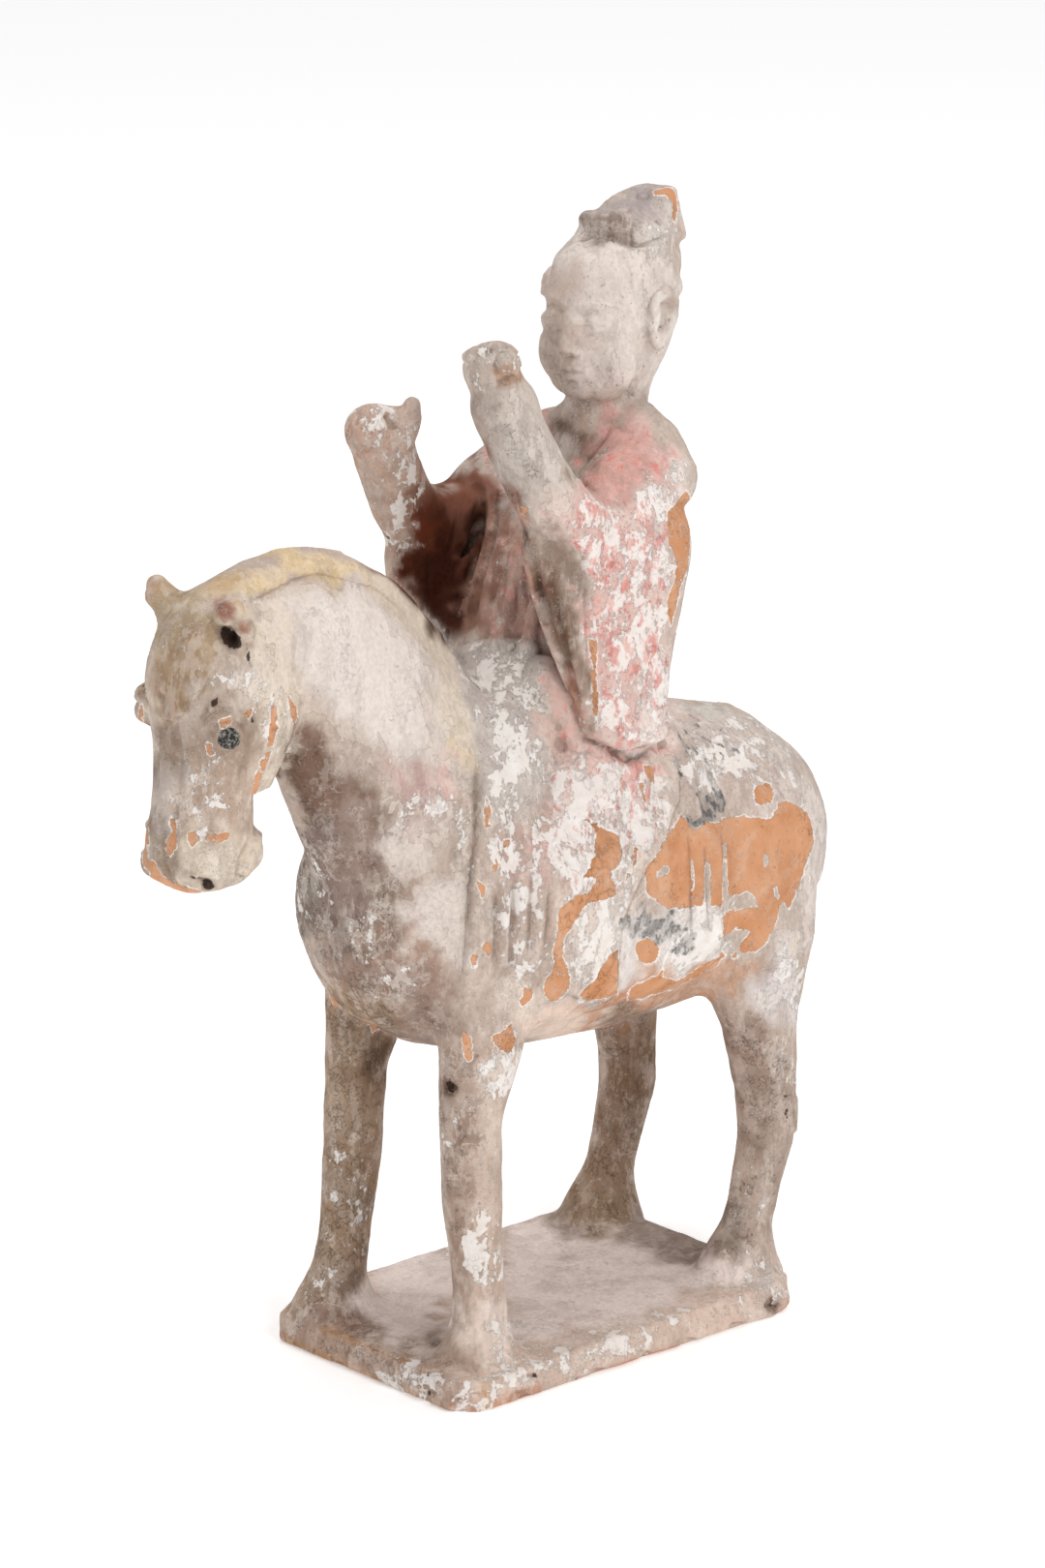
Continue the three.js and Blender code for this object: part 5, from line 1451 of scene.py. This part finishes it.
# Fine soil-filled cracks, gathered where the dark clouds of soil and painted shade lie thickest.
crack_line = sums(tree, "ABSOLUTE", sums(tree, "SUBTRACT", noise(170.0, 8.0, 0.7), 0.5))
crack = sums(tree, "SUBTRACT", 1.0, between(tree, crack_line, 0.002, 0.016))
crack_patch, _ = flakes(times(dirt_and_shade, 0.85), 70.0, 1.3, 0.1)
cracked = times(crack, crack_patch)
tone = laid(cracked, 0.2, colour("6B5342"))

# Rose pigment is left as a thin stain and in upright streaks, and white slip in hard-edged scales.
stain, _ = flakes(times(rose, 0.9), 75.0, 1.1, 0.2)
tone = laid(stain, 0.5, colour("D9A79D"))
white, _ = flakes(chalk, 140.0, 1.8, 0.012, leaning)
fine_white, _ = flakes(sums(tree, "ADD", times(chalk, 0.6), 0.11), 460.0, 1.7, 0.03, leaning)
whites = sums(tree, "MAXIMUM", white, fine_white)
chalk_tone = mixed(tree, noise(260.0), colour("E0D4CA"), colour("FCF9F6"))
tone = laid(times(whites, loose), 0.85, chalk_tone)
pink, _ = flakes(times(rose, 0.78), 260.0, 2.0, 0.05, leaning)
strong = between(tree, noise(210.0, 5.0, 0.65, upright), 0.42, 0.62)
pink_tone = mixed(tree, strong, colour("E2B4AA"), colour("D67C73"))
tone = laid(pink, 0.74, pink_tone)

# Black pigment is left on the saddle as a grey bloom and in darker flecks.
bloom, _ = flakes(times(soot, 0.85), 110.0, 1.3, 0.16)
tone = laid(bloom, 0.42, colour("8E8985"))
grey, _ = flakes(times(soot, 0.66), 330.0, 2.0, 0.09)
grey_tone = mixed(tree, between(tree, noise(420.0, 3.0), 0.4, 0.6), colour("8E8A86"), colour("4A4B4E"))
tone = laid(grey, 0.8, grey_tone)

# Where the slip is gone the fired clay shows, inside a thin white broken edge.
rough_edge = sums(tree, "ADD", bare, times(sums(tree, "SUBTRACT", noise(600.0, 4.0, 0.6), 0.5), 0.7))
lost, lost_rim = flakes(rough_edge, 190.0, 1.3, 0.012, lip=0.1)
clay_tone = mixed(tree, between(tree, noise(80.0, 5.0), 0.35, 0.7), colour("D69E78"), colour("C6895F"))
dust, _ = flakes(0.42, 120.0, 1.5, 0.1)
clay_tone = mixed(tree, times(dust, 0.2), clay_tone, colour("E6CDB8"))
tone = mixed(tree, lost, tone, clay_tone)
broken = between(tree, noise(170.0, 3.0), 0.4, 0.52)
tone = laid(times(lost_rim, broken), 0.85, colour("FAF5F0"))
pupil, _ = flakes(level_of("pupil"), 700.0, 1.0, 0.05)
pupil_tone = mixed(tree, between(tree, noise(900.0), 0.45, 0.65), colour("33322F"), colour("8F8B85"))
tone = mixed(tree, pupil, tone, pupil_tone)

# Thin white scratches, small pits, a darkening in every hollow that is soil and painted shade, and holes
# painted dark inside, with soil and painted shade.
wander = sums(tree, "ABSOLUTE", sums(tree, "SUBTRACT", noise(240.0, 5.0, 0.6), 0.5))
scratch = sums(tree, "SUBTRACT", 1.0, between(tree, wander, 0.003, 0.013))
scratched = times(times(scratch, loose), between(tree, noise(60.0, 3.0), 0.48, 0.58))
tone = laid(scratched, 0.6, colour("F6F0EA"))
ragged_hollow = sums(tree, "ADD", hollow_level, times(sums(tree, "SUBTRACT", noise(400.0), 0.5), 0.25))
hollow_soil_and_shade = between(tree, ragged_hollow, 0.62, 1.0)
soil_and_shade_share = times(hollow_soil_and_shade, sums(tree, "ADD", times(loose, 0.3), 0.1))
tone = mixed(tree, soil_and_shade_share, tone, colour("5D4636"))
specks = times(between(tree, noise(820.0, 2.0, 0.5), 0.68, 0.73), between(tree, dirt_and_shade, 0.1, 0.6))
tone = laid(specks, 0.5, colour("5F4A3B"))
hole_soil_and_shade, _ = flakes(level_of("hole_soil_and_shade"), 500.0, 0.9, 0.06)
tone = laid(hole_soil_and_shade, 0.86, colour("2B1A11"))
tree.links.new(tone, surface.inputs["Base Color"])

surface.inputs["Specular IOR Level"].default_value = 0.1
rough = add(tree, "ShaderNodeMapRange", {"Value": lost, "To Min": 0.92, "To Max": 0.72}).outputs[0]
tree.links.new(rough, surface.inputs["Roughness"])

relief = sums(tree, "SUBTRACT", times(noise(430.0, 5.0, 0.65), 0.9), lost)
relief = sums(tree, "ADD", relief, times(sums(tree, "ADD", whites, slip), 0.45))
relief = sums(tree, "ADD", relief, times(scratched, 0.4))
relief = sums(tree, "SUBTRACT", relief, times(sums(tree, "MAXIMUM", specks, times(cracked, 0.4)), 0.9))
bump = add(tree, "ShaderNodeBump", {"Strength": 0.9, "Distance": 0.0004, "Height": relief})
tree.links.new(bump.outputs[0], surface.inputs["Normal"])

clay.data.materials.clear()
clay.data.materials.append(skin)
pick(clay)
bpy.ops.object.shade_smooth()
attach(clay, "root")
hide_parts("horse_and_rider")
